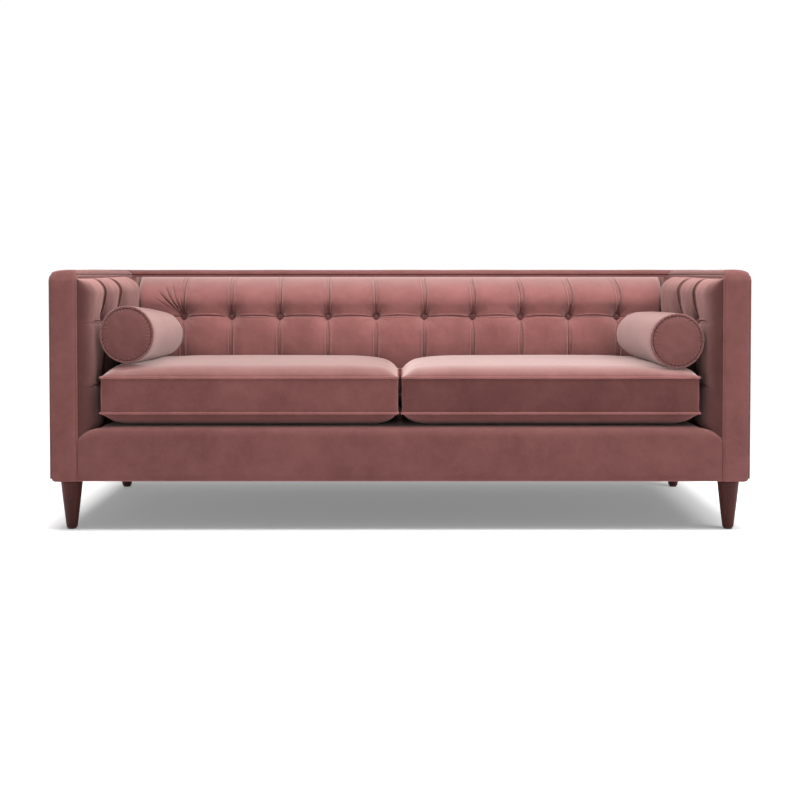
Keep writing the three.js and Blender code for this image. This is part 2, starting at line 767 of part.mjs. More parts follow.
// A boxed cushion: a flat rest, a rounded underside, two welts with the boxing between them,
// and a crowned top.
function boxedCushion(centreX, centreY, halfX, halfY, bottom) {
  const lowerWelt = bottom + cushionBottomRise;
  const upperWelt = lowerWelt + cushionBoxing;
  const seamInset = cushionWeltRadius;
  const rings = [];
  const ring = (z, inset, pullIn) => {
    const radius = cushionCornerRadius + inset * crownCornerShare;
    rings.push(cushionOutline(halfX - inset, halfY - inset, radius, pullIn)
      .map(({ x, y }) => new THREE.Vector3(centreX + x, centreY + y, z)));
  };
  const undersideSteps = 3;
  for (let i = 0; i < undersideSteps; i++) {
    const turn = (Math.PI / 2) * (i / undersideSteps);
    ring(
      lowerWelt - cushionWeltRadius - (cushionBottomRise - cushionWeltRadius) * Math.cos(turn),
      cushionUnderInset + (seamInset - cushionUnderInset) * Math.sin(turn), cushionPullIn);
  }
  for (const welt of [lowerWelt, upperWelt]) {
    ring(welt - cushionWeltRadius, seamInset, cushionPullIn);
    ring(welt, 0, cushionPullIn);
    ring(welt + cushionWeltRadius, seamInset, cushionPullIn);
    if (welt === lowerWelt) {
      ring((lowerWelt + upperWelt) / 2, seamInset - boxingFullness, cushionPullIn);
    }
  }
  const crownBase = upperWelt + cushionWeltRadius;
  for (const share of crownShares) {
    ring(
      crownBase + (cushionCrown - cushionWeltRadius) * (1 - (1 - share) ** crownFullness),
      seamInset + share * (Math.min(halfX, halfY) - cushionCornerRadius - seamInset),
      cushionPullIn * (1 - share));
  }
  return loft(rings,
    new THREE.Vector3(centreX, centreY, bottom),
    new THREE.Vector3(centreX, centreY, upperWelt + cushionCrown));
}

// How far down a geometry can go before it meets another.
function dropOnto(geometry, support, reach) {
  const steps = 18;
  const supportSolid = toSolid(support);
  let clear = 0;
  let blocked = reach;
  for (let i = 0; i < steps; i++) {
    const middle = (clear + blocked) / 2;
    const lowered = toSolid(geometry.clone().translate(0, 0, -middle));
    if (lowered.intersect(supportSolid).isEmpty()) clear = middle;
    else blocked = middle;
  }
  return clear;
}

// A bolster with a welt round each domed end and a slightly full middle. It lies along y.
function bolster(centreX, frontRingY, centreZ, length) {
  const sides = 26;
  const domeSteps = 3;
  const barrelSteps = 6;
  const weltSteps = 4;
  const seamRadius = bolsterRadius - bolsterBarrel;
  const half = [];
  for (let i = 0; i < domeSteps; i++) {
    const turn = (Math.PI / 2) * (i / domeSteps);
    half.push([seamRadius * Math.sin(turn), -bolsterEndDome * Math.cos(turn)]);
  }
  for (let i = 0; i <= weltSteps; i++) {
    const turn = Math.PI * (i / weltSteps);
    half.push([
      seamRadius + bolsterWeltRadius * Math.sin(turn) - bolsterWeltRadius / 2,
      bolsterWeltRadius * (1 - Math.cos(turn))]);
  }
  const bodyStart = 2 * bolsterWeltRadius;
  const barrel = [];
  for (let i = 1; i < barrelSteps; i++) {
    const share = i / barrelSteps;
    barrel.push([
      seamRadius - bolsterWeltRadius / 2
        + (bolsterBarrel + bolsterWeltRadius / 2) * Math.sin(Math.PI * share),
      THREE.MathUtils.lerp(bodyStart, length - bodyStart, share)]);
  }
  const rearHalf = half.map(([radius, y]) => [radius, length - y]).reverse();
  const profile = [...half, ...barrel, ...rearHalf]
    .map(([radius, y]) => new THREE.Vector2(radius, y));
  const geometry = new THREE.LatheGeometry(profile, sides);
  return toGeometry(toSolid(geometry.translate(centreX, frontRingY, centreZ)));
}

// The loose pieces: two cushions on the deck, and a bolster at each arm that rests on its
// cushion.
const cushionOuterX = armPadFaceX - cushionSideGap;
const cushionHalfX = (cushionOuterX - cushionSideGap) / 2;
const cushionFrontY = frontY + cushionSetback;
const cushionRearY = backPadFaceY - cushionBackGap;
const bolsterReach = bolsterRadius + bolsterWeltRadius / 2;
const bolsterFrontY = frontY + bolsterSetback;
const bolsterLength = backPadFaceY - bolsterBackGap - bolsterFrontY;
for (const [side, name] of [[-1, 'left'], [1, 'right']]) {
  const cushion = boxedCushion(
    side * (cushionSideGap + cushionHalfX), (cushionFrontY + cushionRearY) / 2,
    cushionHalfX, (cushionRearY - cushionFrontY) / 2, deckHeight + fit);
  add(`seat_cushion_${name}`, cushion, velvet);
  const roll = bolster(
    side * (armPadFaceX - fit - bolsterReach), bolsterFrontY, overallHeight, bolsterLength);
  const drop = dropOnto(roll, cushion, overallHeight - deckHeight) - fit;
  add(`bolster_${name}`, roll.translate(0, 0, -drop), velvet);
}

export default sofa;
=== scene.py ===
import math
import bpy
import bmesh
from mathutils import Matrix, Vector, noise


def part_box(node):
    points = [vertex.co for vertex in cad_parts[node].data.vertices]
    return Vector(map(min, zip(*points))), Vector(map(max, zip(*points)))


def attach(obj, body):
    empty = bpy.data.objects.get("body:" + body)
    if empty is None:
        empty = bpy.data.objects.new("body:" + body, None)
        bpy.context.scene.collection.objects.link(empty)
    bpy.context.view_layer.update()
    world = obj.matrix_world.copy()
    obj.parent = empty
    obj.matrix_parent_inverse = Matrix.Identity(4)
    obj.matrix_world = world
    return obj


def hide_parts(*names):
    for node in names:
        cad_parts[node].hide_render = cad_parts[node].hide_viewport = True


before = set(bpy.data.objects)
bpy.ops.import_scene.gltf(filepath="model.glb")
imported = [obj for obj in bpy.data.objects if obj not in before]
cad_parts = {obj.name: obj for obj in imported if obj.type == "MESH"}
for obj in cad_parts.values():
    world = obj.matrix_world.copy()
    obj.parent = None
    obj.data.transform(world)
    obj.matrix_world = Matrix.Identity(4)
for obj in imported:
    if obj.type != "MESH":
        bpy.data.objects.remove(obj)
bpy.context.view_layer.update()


# ---- The studio
# A white floor that glows: its glow is dimmer under the sofa's footprint, a painted shadow, and
# brighter round it. Bright white walls under a dimmer ceiling, two wide soft lights over the seat
# and a square one to the right. The camera is at the photograph's place.
def fill_sockets(tree, node, inputs):
    """Put values or other nodes' outputs in a node's sockets."""
    for name, value in inputs.items():
        if isinstance(value, bpy.types.NodeSocket):
            tree.links.new(value, node.inputs[name])
        else:
            node.inputs[name].default_value = value


def add_node(tree, kind, inputs, **settings):
    made = tree.nodes.new(f"ShaderNode{kind}")
    for name, value in settings.items():
        setattr(made, name, value)
    fill_sockets(tree, made, inputs)
    return made


def maths(tree, operation, *values):
    """A sum of values and other nodes' outputs."""
    return add_node(tree, "Math", dict(enumerate(values)), operation=operation).outputs[0]


def graded(tree, value, start, end, first, last, steps="SMOOTHSTEP"):
    """From the first to the last as a value goes from start to end."""
    return add_node(tree, "MapRange", {
        "Value": value, "From Min": start, "From Max": end, "To Min": first, "To Max": last},
        interpolation_type=steps).outputs[0]


def set_shader(tree, **sockets):
    fill_sockets(tree, tree.nodes["Principled BSDF"], {
        name.replace("_", " "): value for name, value in sockets.items()})


def new_finish(name, **sockets):
    """A material with values on its shader's sockets, its nodes, and each point's place."""
    material = bpy.data.materials.new(name)
    material.use_nodes = True
    set_shader(material.node_tree, **sockets)
    place = add_node(material.node_tree, "TexCoord", {}).outputs["Object"]
    return material, material.node_tree, place


floor_form = bmesh.new()
bmesh.ops.create_grid(floor_form, x_segments=8, y_segments=8, size=14)
floor_mesh = bpy.data.meshes.new("floor")
floor_form.to_mesh(floor_mesh)
floor_form.free()
floor = bpy.data.objects.new("floor", floor_mesh)
bpy.context.collection.objects.link(floor)
white_floor, floor_tree, floor_place = new_finish(
    "white_floor", Base_Color=(0.9, 0.9, 0.9, 1), Roughness=0.9, Specular_IOR_Level=0.1,
    Emission_Color=(1, 1, 1, 1))
floor_spot = add_node(floor_tree, "SeparateXYZ", {"Vector": floor_place}).outputs
beyond_painted_shadow = [
    maths(floor_tree, "MULTIPLY_ADD", maths(floor_tree, "ABSOLUTE", floor_spot[axis]),
          steepness, -steepness * half_size)
    for axis, half_size, steepness in (("X", 1.0, 5.0), ("Y", 0.45, 1.0))]
# Painted shadow: the floor glows less inside the sofa's footprint and more outside it.
set_shader(floor_tree, Emission_Strength=graded(
    floor_tree, maths(floor_tree, "MAXIMUM", *beyond_painted_shadow), 0.0, 0.9, 0.18, 0.8))
floor_mesh.materials.append(white_floor)

room = bpy.data.worlds.new("white_room")
room.use_nodes = True
room_tree = room.node_tree
direction = add_node(room_tree, "SeparateXYZ", {
    "Vector": add_node(room_tree, "TexCoord", {}).outputs["Generated"]}).outputs
wall_light = graded(room_tree, direction["Y"], -0.2, 0.2, 1.1, 1.02)
fill_sockets(room_tree, room_tree.nodes["Background"], {
    "Color": (1, 1, 1, 1), "Strength": graded(
        room_tree, direction["Z"], 0.24, 0.36, wall_light, 0.22)})
bpy.context.scene.world = room
bpy.context.scene.view_settings.view_transform = "Standard"

for name, place, aim, width, depth, power in (
        ("overhead_light", (0, -0.5, 1.9), (0, -0.4, 0), 3.2, 0.8, 32),
        ("back_light", (0, -0.7, 2.1), (0, 0.1, 0.4), 3.0, 0.6, 27),
        ("right_hand_light", (2.3, -1.0, 2.3), (0, -0.1, 0.5), 1.2, 1.2, 33)):
    lamp = bpy.data.lights.new(name, "AREA")
    lamp.shape = "RECTANGLE"
    lamp.size, lamp.size_y, lamp.energy = width, depth, power
    stand = bpy.data.objects.new(name, lamp)
    stand.location = place
    stand.rotation_euler = (Vector(aim) - Vector(place)).to_track_quat("-Z", "Y").to_euler()
    bpy.context.collection.objects.link(stand)

lens = bpy.data.cameras.new("camera")
lens.lens, lens.sensor_width, lens.shift_y = 54.72, 36, -0.1114
camera = bpy.data.objects.new("camera", lens)
camera.location = (0, -4.1165, 0.776)
camera.rotation_euler = (math.radians(88.41), 0, 0)
bpy.context.collection.objects.link(camera)
bpy.context.scene.camera = camera


# ---- Wooden frame
# Sawn rails, posts and boards of plain softwood, glued and screwed together. The covers hide
# them all; the grain runs along each board.
def speckle(tree, place, scale, **inputs):
    return add_node(tree, "TexNoise", {"Vector": place, "Scale": scale, **inputs}).outputs[0]


def two_tone(tree, value, *tones):
    """Two colours, each full at its own position of a value."""
    ramp = add_node(tree, "ValToRGB", {"Fac": value})
    for element, (position, shade) in zip(ramp.color_ramp.elements, tones):
        element.position, element.color = position, (*shade, 1)
    return ramp.outputs["Color"]


def bumpy(tree, height, strength, distance, **inputs):
    return add_node(tree, "Bump", {
        "Height": height, "Strength": strength, "Distance": distance, **inputs}).outputs[0]


def wood_finish(name, grain, light, dark, figure=1.0, **sockets):
    """Wood whose grain runs along one of the axes."""
    material, tree, place = new_finish(name, **sockets)
    stretch = [26.0, 26.0, 26.0]
    stretch["xyz".index(grain)] = 1.3
    drawn, fine = (add_node(tree, "Mapping", {
        "Vector": place, "Scale": [value * finer for value in stretch]}).outputs[0]
        for finer in (1, 9))
    bands = speckle(tree, drawn, figure, Detail=5.0, Roughness=0.55, Distortion=0.4)
    pores = speckle(tree, fine, figure, Detail=2.0)
    set_shader(
        tree, Base_Color=two_tone(tree, maths(tree, "MULTIPLY", bands, pores),
                                  (0.12, dark), (0.4, light)),
        Normal=bumpy(tree, pores, 0.25, 0.0006))
    return material


def repaint(node, material):
    """Give a frame part its finish."""
    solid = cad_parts[node]
    solid.data.materials.clear()
    solid.data.materials.append(material)


corners = [f"{end}_{hand}" for end in ("front", "rear") for hand in ("left", "right")]
frame_parts = {
    "x": ["front_seat_rail", "back_seat_rail", "back_tack_rail", "back_top_board",
          *(f"corner_block_{corner}" for corner in corners)],
    "y": ["left_seat_rail", "right_seat_rail", "centre_seat_rail", "left_arm_top_board",
          "right_arm_top_board", "left_arm_tack_rail", "right_arm_tack_rail"],
    "z": ["left_arm_front_post", "right_arm_front_post", "left_rear_post", "right_rear_post",
          "back_upright_left", "back_upright_right"],
}
for grain, parts in frame_parts.items():
    sawn = wood_finish(f"softwood_along_{grain}", grain, (0.62, 0.42, 0.2), (0.36, 0.2, 0.08),
                       Roughness=0.7, Specular_IOR_Level=0.3)
    for part in parts:
        repaint(part, sawn)


# ---- Seat springs, tie wires and leg bolts
# Drawn steel wire, bent to and fro, and the threaded bolts that hold the legs. Their finish is
# bare steel with a little unevenness from drawing and oil.
bare_steel, steel_tree, steel_place = new_finish(
    "bare_steel", Base_Color=(0.5, 0.51, 0.53, 1), Metallic=1.0)
oil_patches = speckle(steel_tree, steel_place, 140.0, Detail=4.0)
set_shader(steel_tree, Roughness=graded(steel_tree, oil_patches, 0, 1, 0.25, 0.5, "LINEAR"))
for part in (*(f"seat_spring_{number}" for number in range(1, 9)), "spring_tie_wire_front",
             "spring_tie_wire_back", *(f"leg_bolt_{corner}" for corner in corners)):
    repaint(part, bare_steel)


# ---- Legs
# Four turned hardwood legs, tapered to the foot, stained dark red-brown and lacquered. Each is
# screwed up into its corner block on a hanger bolt.
def turn(form, profile, x, y, steps):
    """Turn a profile of radii and heights round an upright axis."""
    points = [form.verts.new((x + radius, y, z)) for radius, z in profile]
    edges = [form.edges.new(pair) for pair in zip(points, points[1:])]
    bmesh.ops.spin(form, geom=points + edges, cent=(x, y, 0), axis=(0, 0, 1),
                   angle=math.tau, steps=steps, use_merge=True)


def round_edge(radius, bottom, edge, steps):
    """The part of a profile that rounds from a level underside up into an upright face."""
    angles = [math.pi / 2 * step / steps for step in range(steps + 1)]
    return [(radius - edge * (1 - math.sin(angle)), bottom + edge * (1 - math.cos(angle)))
            for angle in angles]


def make_piece(name, form, material, body, sharp=50):
    """Close a shape's seams and poles, turn its faces outwards, and make it a piece that moves
    with a body."""
    bmesh.ops.remove_doubles(form, verts=form.verts, dist=0.00001)
    bmesh.ops.recalc_face_normals(form, faces=form.faces)
    if form.calc_volume(signed=True) < 0:
        bmesh.ops.reverse_faces(form, faces=form.faces)
    mesh = bpy.data.meshes.new(name)
    form.to_mesh(mesh)
    form.free()
    mesh.shade_smooth()
    mesh.set_sharp_from_angle(angle=math.radians(sharp))
    mesh.materials.append(material)
    piece = bpy.data.objects.new(name, mesh)
    bpy.context.collection.objects.link(piece)
    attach(piece, body)
    return piece


leg_wood = wood_finish("dark_stained_beech", "z", (0.066, 0.0125, 0.0095),
                       (0.028, 0.0052, 0.0042), figure=1.6, Roughness=0.45,
                       Specular_IOR_Level=0.14, Coat_Weight=0.06, Coat_Roughness=0.35)
leg_taper, leg_foot_edge, leg_top_edge, leg_belly = 0.017, 0.0028, 0.0012, 0.0005
taper_steps = 12
for corner in corners:
    low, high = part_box(f"leg_{corner}")
    centre_x, centre_y = (low.x + high.x) / 2, (low.y + high.y) / 2
    top_radius = (high.x - low.x) / 2 + 0.0015
    foot_radius = top_radius - leg_taper
    profile = [(0, low.z)] + round_edge(foot_radius, low.z, leg_foot_edge, 4)
    for step in range(1, taper_steps):
        share = step / taper_steps
        belly = leg_belly * math.sin(math.pi * share)
        profile.append((foot_radius + (top_radius - foot_radius) * share + belly,
                        low.z + (high.z - low.z) * share))
    profile += [(top_radius, high.z - leg_top_edge), (top_radius - leg_top_edge, high.z),
                (0, high.z)]
    leg_form = bmesh.new()
    turn(leg_form, profile, centre_x, centre_y, 56)
    leg = make_piece(f"turned_leg_{corner}", leg_form, leg_wood, "frame", 60)
    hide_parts(f"leg_{corner}")


# ---- Glides
# Moulded discs nailed under the legs, with a round edge and a shallow recess for the nail.
glide_plastic, glide_tree, glide_place = new_finish(
    "moulded_glide", Base_Color=(0.022, 0.022, 0.024, 1), Roughness=0.5)
mould_grain = speckle(glide_tree, glide_place, 900.0)
set_shader(glide_tree, Normal=bumpy(glide_tree, mould_grain, 0.2, 0.0003))
nail_recess, glide_edge = 0.0012, 0.0014
for corner in corners:
    low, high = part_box(f"glide_{corner}")
    centre_x, centre_y = (low.x + high.x) / 2, (low.y + high.y) / 2
    radius = (high.x - low.x) / 2
    profile = [(0, low.z + nail_recess), (0.0028, low.z + nail_recess), (0.0034, low.z)]
    profile += round_edge(radius, low.z, glide_edge, 5) + [(radius, high.z), (0, high.z)]
    glide_form = bmesh.new()
    turn(glide_form, profile, centre_x, centre_y, 40)
    glide = make_piece(f"leg_glide_{corner}", glide_form, glide_plastic,
                       "frame", 60)
    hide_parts(f"glide_{corner}")


# ---- Dust cover
# A black non-woven cloth stapled under the rails. It hangs a few millimetres between them.
black_cloth, black_tree, black_place = new_finish(
    "black_dust_cloth", Roughness=0.95, Specular_IOR_Level=0.2)
fibres = speckle(black_tree, black_place, 420.0, Detail=6.0, Distortion=2.0)
set_shader(
    black_tree, Normal=bumpy(black_tree, fibres, 0.5, 0.0005),
    Base_Color=two_tone(black_tree, fibres, (0.35, (0.006, 0.006, 0.007)),
                        (0.7, (0.03, 0.03, 0.033))))


def lay_grid(form, columns, rows, place):
    """A grid of quads whose corners go where place(column, row) says."""
    points = bmesh.ops.create_grid(form, x_segments=columns, y_segments=rows, size=1)["verts"]
    for number, point in enumerate(points):
        point.co = place(number % (columns + 1), number // (columns + 1))
    return points


low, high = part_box("dust_cover")
cover_columns, cover_rows, cover_sag, cover_inset = 60, 30, 0.0028, 0.0001


def cover_point(column, row):
    across, along = column / cover_columns, row / cover_rows
    hollow = math.sin(math.pi * along) * abs(math.sin(math.tau * across)) ** 0.7
    return (low.x + (high.x - low.x) * across, low.y + (high.y - low.y) * along,
            high.z - cover_inset - cover_sag * hollow)


cover_form = bmesh.new()
lay_grid(cover_form, cover_columns, cover_rows, cover_point)
bmesh.ops.solidify(cover_form, geom=cover_form.faces[:],
                   thickness=high.z - low.z - 2 * cover_inset)
dust_cover = make_piece("stapled_dust_cover", cover_form, black_cloth, "frame")
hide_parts("dust_cover")


# ---- Deck pad
# Firm wadding in plain woven cloth, tied down on the springs. The loose cushions lie on it.
deck_cloth, deck_tree, deck_place = new_finish(
    "plain_deck_cloth", Roughness=0.9, Specular_IOR_Level=0.2, Sheen_Weight=0.2,
    Sheen_Roughness=0.5)
warp, weft = (add_node(deck_tree, "TexWave", {
    "Vector": deck_place, "Scale": 190.0, "Distortion": 0.6},
    bands_direction=direction).outputs["Fac"] for direction in ("X", "Y"))
weave = maths(deck_tree, "MULTIPLY", warp, weft)
slubs = speckle(deck_tree, deck_place, 60.0, Detail=4.0)
set_shader(
    deck_tree, Normal=bumpy(deck_tree, weave, 0.6, 0.0006),
    Base_Color=two_tone(deck_tree, maths(deck_tree, "ADD", weave, slubs),
                        (0.3, (0.13, 0.05, 0.045)), (1.0, (0.27, 0.12, 0.11))))
low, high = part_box("deck_pad")
deck_form = bmesh.new()
bmesh.ops.create_cube(deck_form, size=1)
for point in deck_form.verts:
    point.co = [low[axis] + (high[axis] - low[axis]) * (point.co[axis] + 0.5)
                for axis in range(3)]
bmesh.ops.bevel(deck_form, geom=deck_form.edges[:], offset=0.012, segments=4, profile=0.5,
                affect="EDGES", material=-1)
long_edges = [edge for edge in deck_form.edges if edge.calc_length() > 0.1]
bmesh.ops.subdivide_edges(deck_form, edges=long_edges, cuts=44, use_grid_fill=True)
for point in deck_form.verts:
    if point.co.z > high.z - 0.001:
        point.co.z -= 0.0025 * (0.5 + 0.5 * noise.noise(point.co * 9))
deck_pad = make_piece("tied_deck_pad", deck_form, deck_cloth, "frame")
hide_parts("deck_pad")


# ---- Front border
# Velvet over wadding on the front rail. It rolls over the rail's top edge, curves down under
# the arm pads at its ends, and is folded under and stapled along the bottom.
def mixed_colours(tree, share, first, second, blend):
    """Two colours mixed. A mix node's colour sockets are 6 and 7, and its result is 2."""
    return add_node(tree, "Mix", {0: share, 6: first, 7: second}, data_type="RGBA",
                    blend_type=blend).outputs[2]


def velvet_finish(name, painted_light_level, sheen, sheen_paint, sheen_paint_shade=(1.26, 0.48, 0.43)):
    """Short cotton pile: its nap lies in soft patches and catches light at a slant. A painted
    sheen is added to its colour where the cover turns away from the view, and a painted shade
    darkens it where a piece marks its creases. Each piece has its own painted light level:
    lighter and darker copies of one velvet paint the light and shade that falls on it."""
    material, tree, place = new_finish(
        name, Roughness=0.8, Specular_IOR_Level=0.05, Sheen_Weight=sheen,
        Sheen_Roughness=0.5, Sheen_Tint=(1.0, 0.8, 0.76, 1))
    nap = speckle(tree, place, 8.0, Detail=9.0, Roughness=0.74, Distortion=0.15)
    pile = speckle(tree, place, 650.0, Detail=3.0, Roughness=0.7)
    # Painted light and shade: both tones are scaled by the piece's own light level.
    dark, light = ([value * painted_light_level for value in shade]
                   for shade in ((0.131, 0.045, 0.042), (0.242, 0.095, 0.089)))
    colour = two_tone(tree, maths(tree, "MULTIPLY_ADD", pile, 0.35, nap),
                      (0.35, dark), (1.0, light))
    # Painted sheen: a lighter colour is added to the base where the cover turns away from the
    # view.
    slant = add_node(tree, "LayerWeight", {"Blend": 0.5}).outputs["Facing"]
    sheen_painted = mixed_colours(tree, maths(tree, "POWER", slant, 2.0), colour,
                            (*[value * sheen_paint for value in sheen_paint_shade], 1), "ADD")
    # Painted shade: where a piece marks a crease or a tucked-in side, the colour is mixed towards
    # a dark red.
    painted_crease_shade = add_node(tree, "Attribute", {}, attribute_name="painted_crease_shade").outputs["Fac"]
    brushed = bumpy(tree, nap, 0.3, 0.004)
    set_shader(
        tree, Base_Color=mixed_colours(tree, painted_crease_shade, sheen_painted, (0.050, 0.004, 0.003, 1), "MIX"),
        Normal=bumpy(tree, pile, 0.35, 0.0007, Normal=brushed))
    return material


def resample(path, count, closed=False):
    """Points at even distances along a path."""
    places = [Vector(point) for point in path] + ([Vector(path[0])] if closed else [])
    lengths = [0.0]
    for before, after in zip(places, places[1:]):
        lengths.append(lengths[-1] + (after - before).length)
    points, leg = [], 0
    for step in range(count + 1):
        reach = lengths[-1] * step / count
        while leg < len(lengths) - 2 and lengths[leg + 1] < reach:
            leg += 1
        span = max(lengths[leg + 1] - lengths[leg], 1e-9)
        points.append(places[leg].lerp(places[leg + 1], (reach - lengths[leg]) / span))
    return points


def close_ends(form):
    """Fill the open ends of a tube-like shape."""
    bmesh.ops.remove_doubles(form, verts=form.verts, dist=0.00001)
    bmesh.ops.holes_fill(form, edges=[edge for edge in form.edges if edge.is_boundary])


def line_at(distance, half_width):
    """A narrow line across a cover: 1 at its middle, and next to nothing beside it."""
    return math.exp(-(distance / half_width) ** 2)


low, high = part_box("front_border")
border_front, border_back, border_top, border_bottom = low.y, high.y, high.z, low.z
border_half, border_roll, border_ledge, border_foot_edge = high.x, 0.030, 0.2634, 0.004
border_cover_back = border_front + 0.010
border_dip, border_dip_length = 0.036, 0.120
border_fullness, hem_height = 0.0022, 0.011


def border_top_at(x):
    """The border's height at one place along it. It dips under the arm pads."""
    past = max(abs(x) - (border_half - border_dip_length), 0)
    dip = border_dip * (1 - math.sqrt(max(1 - (past / border_dip_length) ** 2, 0)))
    return border_top - dip


def dipped(x, height):
    """A height on the undipped border, pressed down as far as the dip goes there."""
    squash = (border_top_at(x) - border_ledge) / (border_top - border_ledge)
    return border_ledge + (height - border_ledge) * squash


def border_outline(x):
    """The border's section at one place along it, down from the back of its top."""
    outline = [(border_cover_back, border_ledge), (border_back, border_ledge),
               (border_back, border_top_at(x))]
    for step in range(1, 13):
        angle = math.pi / 2 * (1 - step / 12)
        outline.append((border_back - border_roll * math.cos(angle),
                        dipped(x, border_top - border_roll * (1 - math.sin(angle)))))
    for step in range(1, 5):
        angle = math.pi / 2 * step / 4
        outline.append((border_front + border_foot_edge * (1 - math.cos(angle)),
                        border_bottom + border_foot_edge * (1 - math.sin(angle))))
    outline.append((border_cover_back, border_bottom))
    return [(0, y, z) for y, z in outline]


border_columns, border_rows = 180, 96
border_stations = [border_half * math.sin(math.pi / 2 * (2 * column / border_columns - 1))
                   for column in range(border_columns + 1)]
border_sections = [resample(border_outline(x), border_rows, closed=True)
                   for x in border_stations]


def border_point(column, row):
    x = border_stations[column]
    point = border_sections[column][row % border_rows].copy()
    point.x = x
    if point.y < border_front + 0.02:
        share = (point.z - border_bottom) / (border_top - border_bottom)
        full = math.sin(math.pi * min(max(share, 0), 1))
        point.y -= border_fullness * full ** 0.6
        point.y -= 0.0012 * noise.noise(Vector((x * 3.2, 0, point.z * 5))) * full
        point.y += 0.0012 * line_at(point.z - border_bottom - hem_height, 0.0016)
    return point


border_form = bmesh.new()
lay_grid(border_form, border_columns, border_rows, border_point)
close_ends(border_form)
front_border = make_piece("rolled_front_border", border_form,
                          velvet_finish("border_velvet", 0.78, 0.34, 0.2), "frame")
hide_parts("front_border")


# ---- Tufted arm pads
# Foam under one velvet cover. Pleats run up through each column of buttons and folds run across
# through each row; twine through every button draws a hollow. The front edge is rolled, and a
# thinner tail goes on behind the back pad.
def roll_places(start, reach, inwards, lowest, count):
    """Places across a rolled edge, each with the share of the thickness that it has."""
    first = math.asin(lowest)
    places = []
    for step in range(count):
        angle = first + (math.pi / 2 - first) * step / count
        place = start + inwards * reach * (1 - math.cos(angle) / math.cos(first))
        places.append((place, math.sin(angle)))
    return places


def pleat_places(first, last, seams, widest=0.0048):
    """Places across full panels: close together beside each seam, wider between them."""
    beside = [0, 0.0011, 0.0022, 0.0033, 0.0044, 0.0055, 0.0066, 0.0078, 0.0091, 0.0106,
              0.0124, 0.0146, 0.018]
    fixed = {first, last}
    for seam in seams:
        fixed.update(seam + sign * step for sign in (-1, 1) for step in beside)
    fixed = sorted(place for place in fixed if first <= place <= last)
    places = []
    for here, there in zip(fixed, fixed[1:]):
        parts = max(1, math.ceil((there - here) / widest))
        places += [(here + (there - here) * part / parts, 1.0) for part in range(parts)]
    return places + [(last, 1.0)]


def ease(share):
    """From 0 to 1, with a soft start and a soft end."""
    share = min(max(share, 0.0), 1.0)
    return share * share * (3 - 2 * share)


def swell(distance, reach):
    """How full a panel is at a distance from its seam."""
    return math.sin(math.pi / 2 * min(abs(distance) / reach, 1)) ** 0.8


def nearest(lines, value):
    """The number of the line that is nearest to a value."""
    return min(range(len(lines)), key=lambda number: abs(lines[number] - value))


def share_between(lines, value):
    """How far a value is between the two lines round it."""
    for before, after in zip(lines, lines[1:]):
        if before <= value <= after:
            return (value - before) / (after - before)
    return 0.0


def tuft_depth(across, up, seams, rows, top, pull, crease, valley, valley_reach):
    """How far the cover lies below its fullest at one place of a tufted pad."""
    seam_number, row_number = nearest(seams, across), nearest(rows, up)
    aside, above = across - seams[seam_number], up - rows[row_number]
    reach, bearing = math.hypot(aside, above), math.atan2(above, aside)
    edges = [2 * seams[0] - seams[1], *seams, 2 * seams[-1] - seams[-2]]
    middle = math.sin(math.pi * share_between(edges, across))
    panel = sum(seam < across for seam in seams)
    below_top = ease((top - up) / 0.10)

    # The valley along the seam, and the hollow round its button.
    depth = valley * (1 - swell(aside, valley_reach)) * (0.3 + 0.7 * below_top)
    if above > 0:
        depth += pull * 0.26 * (1 - math.sin(math.pi / 2 * min(above / 0.115, 1))) * below_top
    else:
        depth += pull * (0.06 * (1 - ease(-above / 0.095)) + 0.20 * (1 - swell(above, 0.045)))
    hollow = math.hypot(aside - 0.002, above - 0.004)
    depth += pull * 0.6 * math.exp(-max(hollow - 0.008, 0) / 0.021)
    if above > 0:
        depth += pull * 0.22 * line_at(aside, 0.016) * math.exp(-above / 0.04) * below_top

    # The pleat: a deep groove on one side, a shallow one on the other, and a ridge beside each.
    away = ease((abs(above) - 0.010) / 0.06)
    strip = 0.0024 + 0.0040 * away
    groove = crease * ease((reach - 0.011) / 0.016)
    laid = math.copysign(1, math.sin(2.1 * seam_number + 0.9 + 1.7 * (up > rows[-1])))
    depth += groove * line_at(aside - laid * strip, 0.0019)
    depth += 0.36 * groove * line_at(aside + laid * strip, 0.0017)
    depth -= 0.0030 * away * line_at(abs(aside) - strip - 0.0044, 0.0026)
    depth += 0.0007 * math.cos(math.tau * aside / 0.0062) * line_at(aside, 0.019) * line_at(
        above - 0.034, 0.026)

    # The folds across the panel, from button to button.
    fold = pull * (0.102 + 0.027 * math.sin(4.3 * panel + 1)) * middle ** 0.4 * below_top
    apart = (0.0035 + 0.0065 * (0.5 + 0.5 * math.sin(2.6 * panel + 1.9 * row_number))) * middle
    depth += fold * line_at(above, 0.0014)
    depth += 0.42 * fold * line_at(above + apart, 0.0014)
    depth -= 0.0017 * middle * below_top * line_at(above - 0.0042, 0.0024)

    # Short wrinkles that run out from the button, and the cloth's unevenness.
    turn_by = 1.7 * seam_number + 2.9 * row_number
    ray = math.cos(9 * bearing + turn_by) + 0.6 * math.cos(14 * bearing - 2 * turn_by)
    depth += 0.0011 * ray * math.exp(-reach / 0.03) * min(reach / 0.016, 1)
    depth += 0.0020 * noise.noise(Vector((across * 15, up * 12, seams[0])))
    return depth + 0.0005 * noise.noise(Vector((across * 48, up * 40, seams[0])))


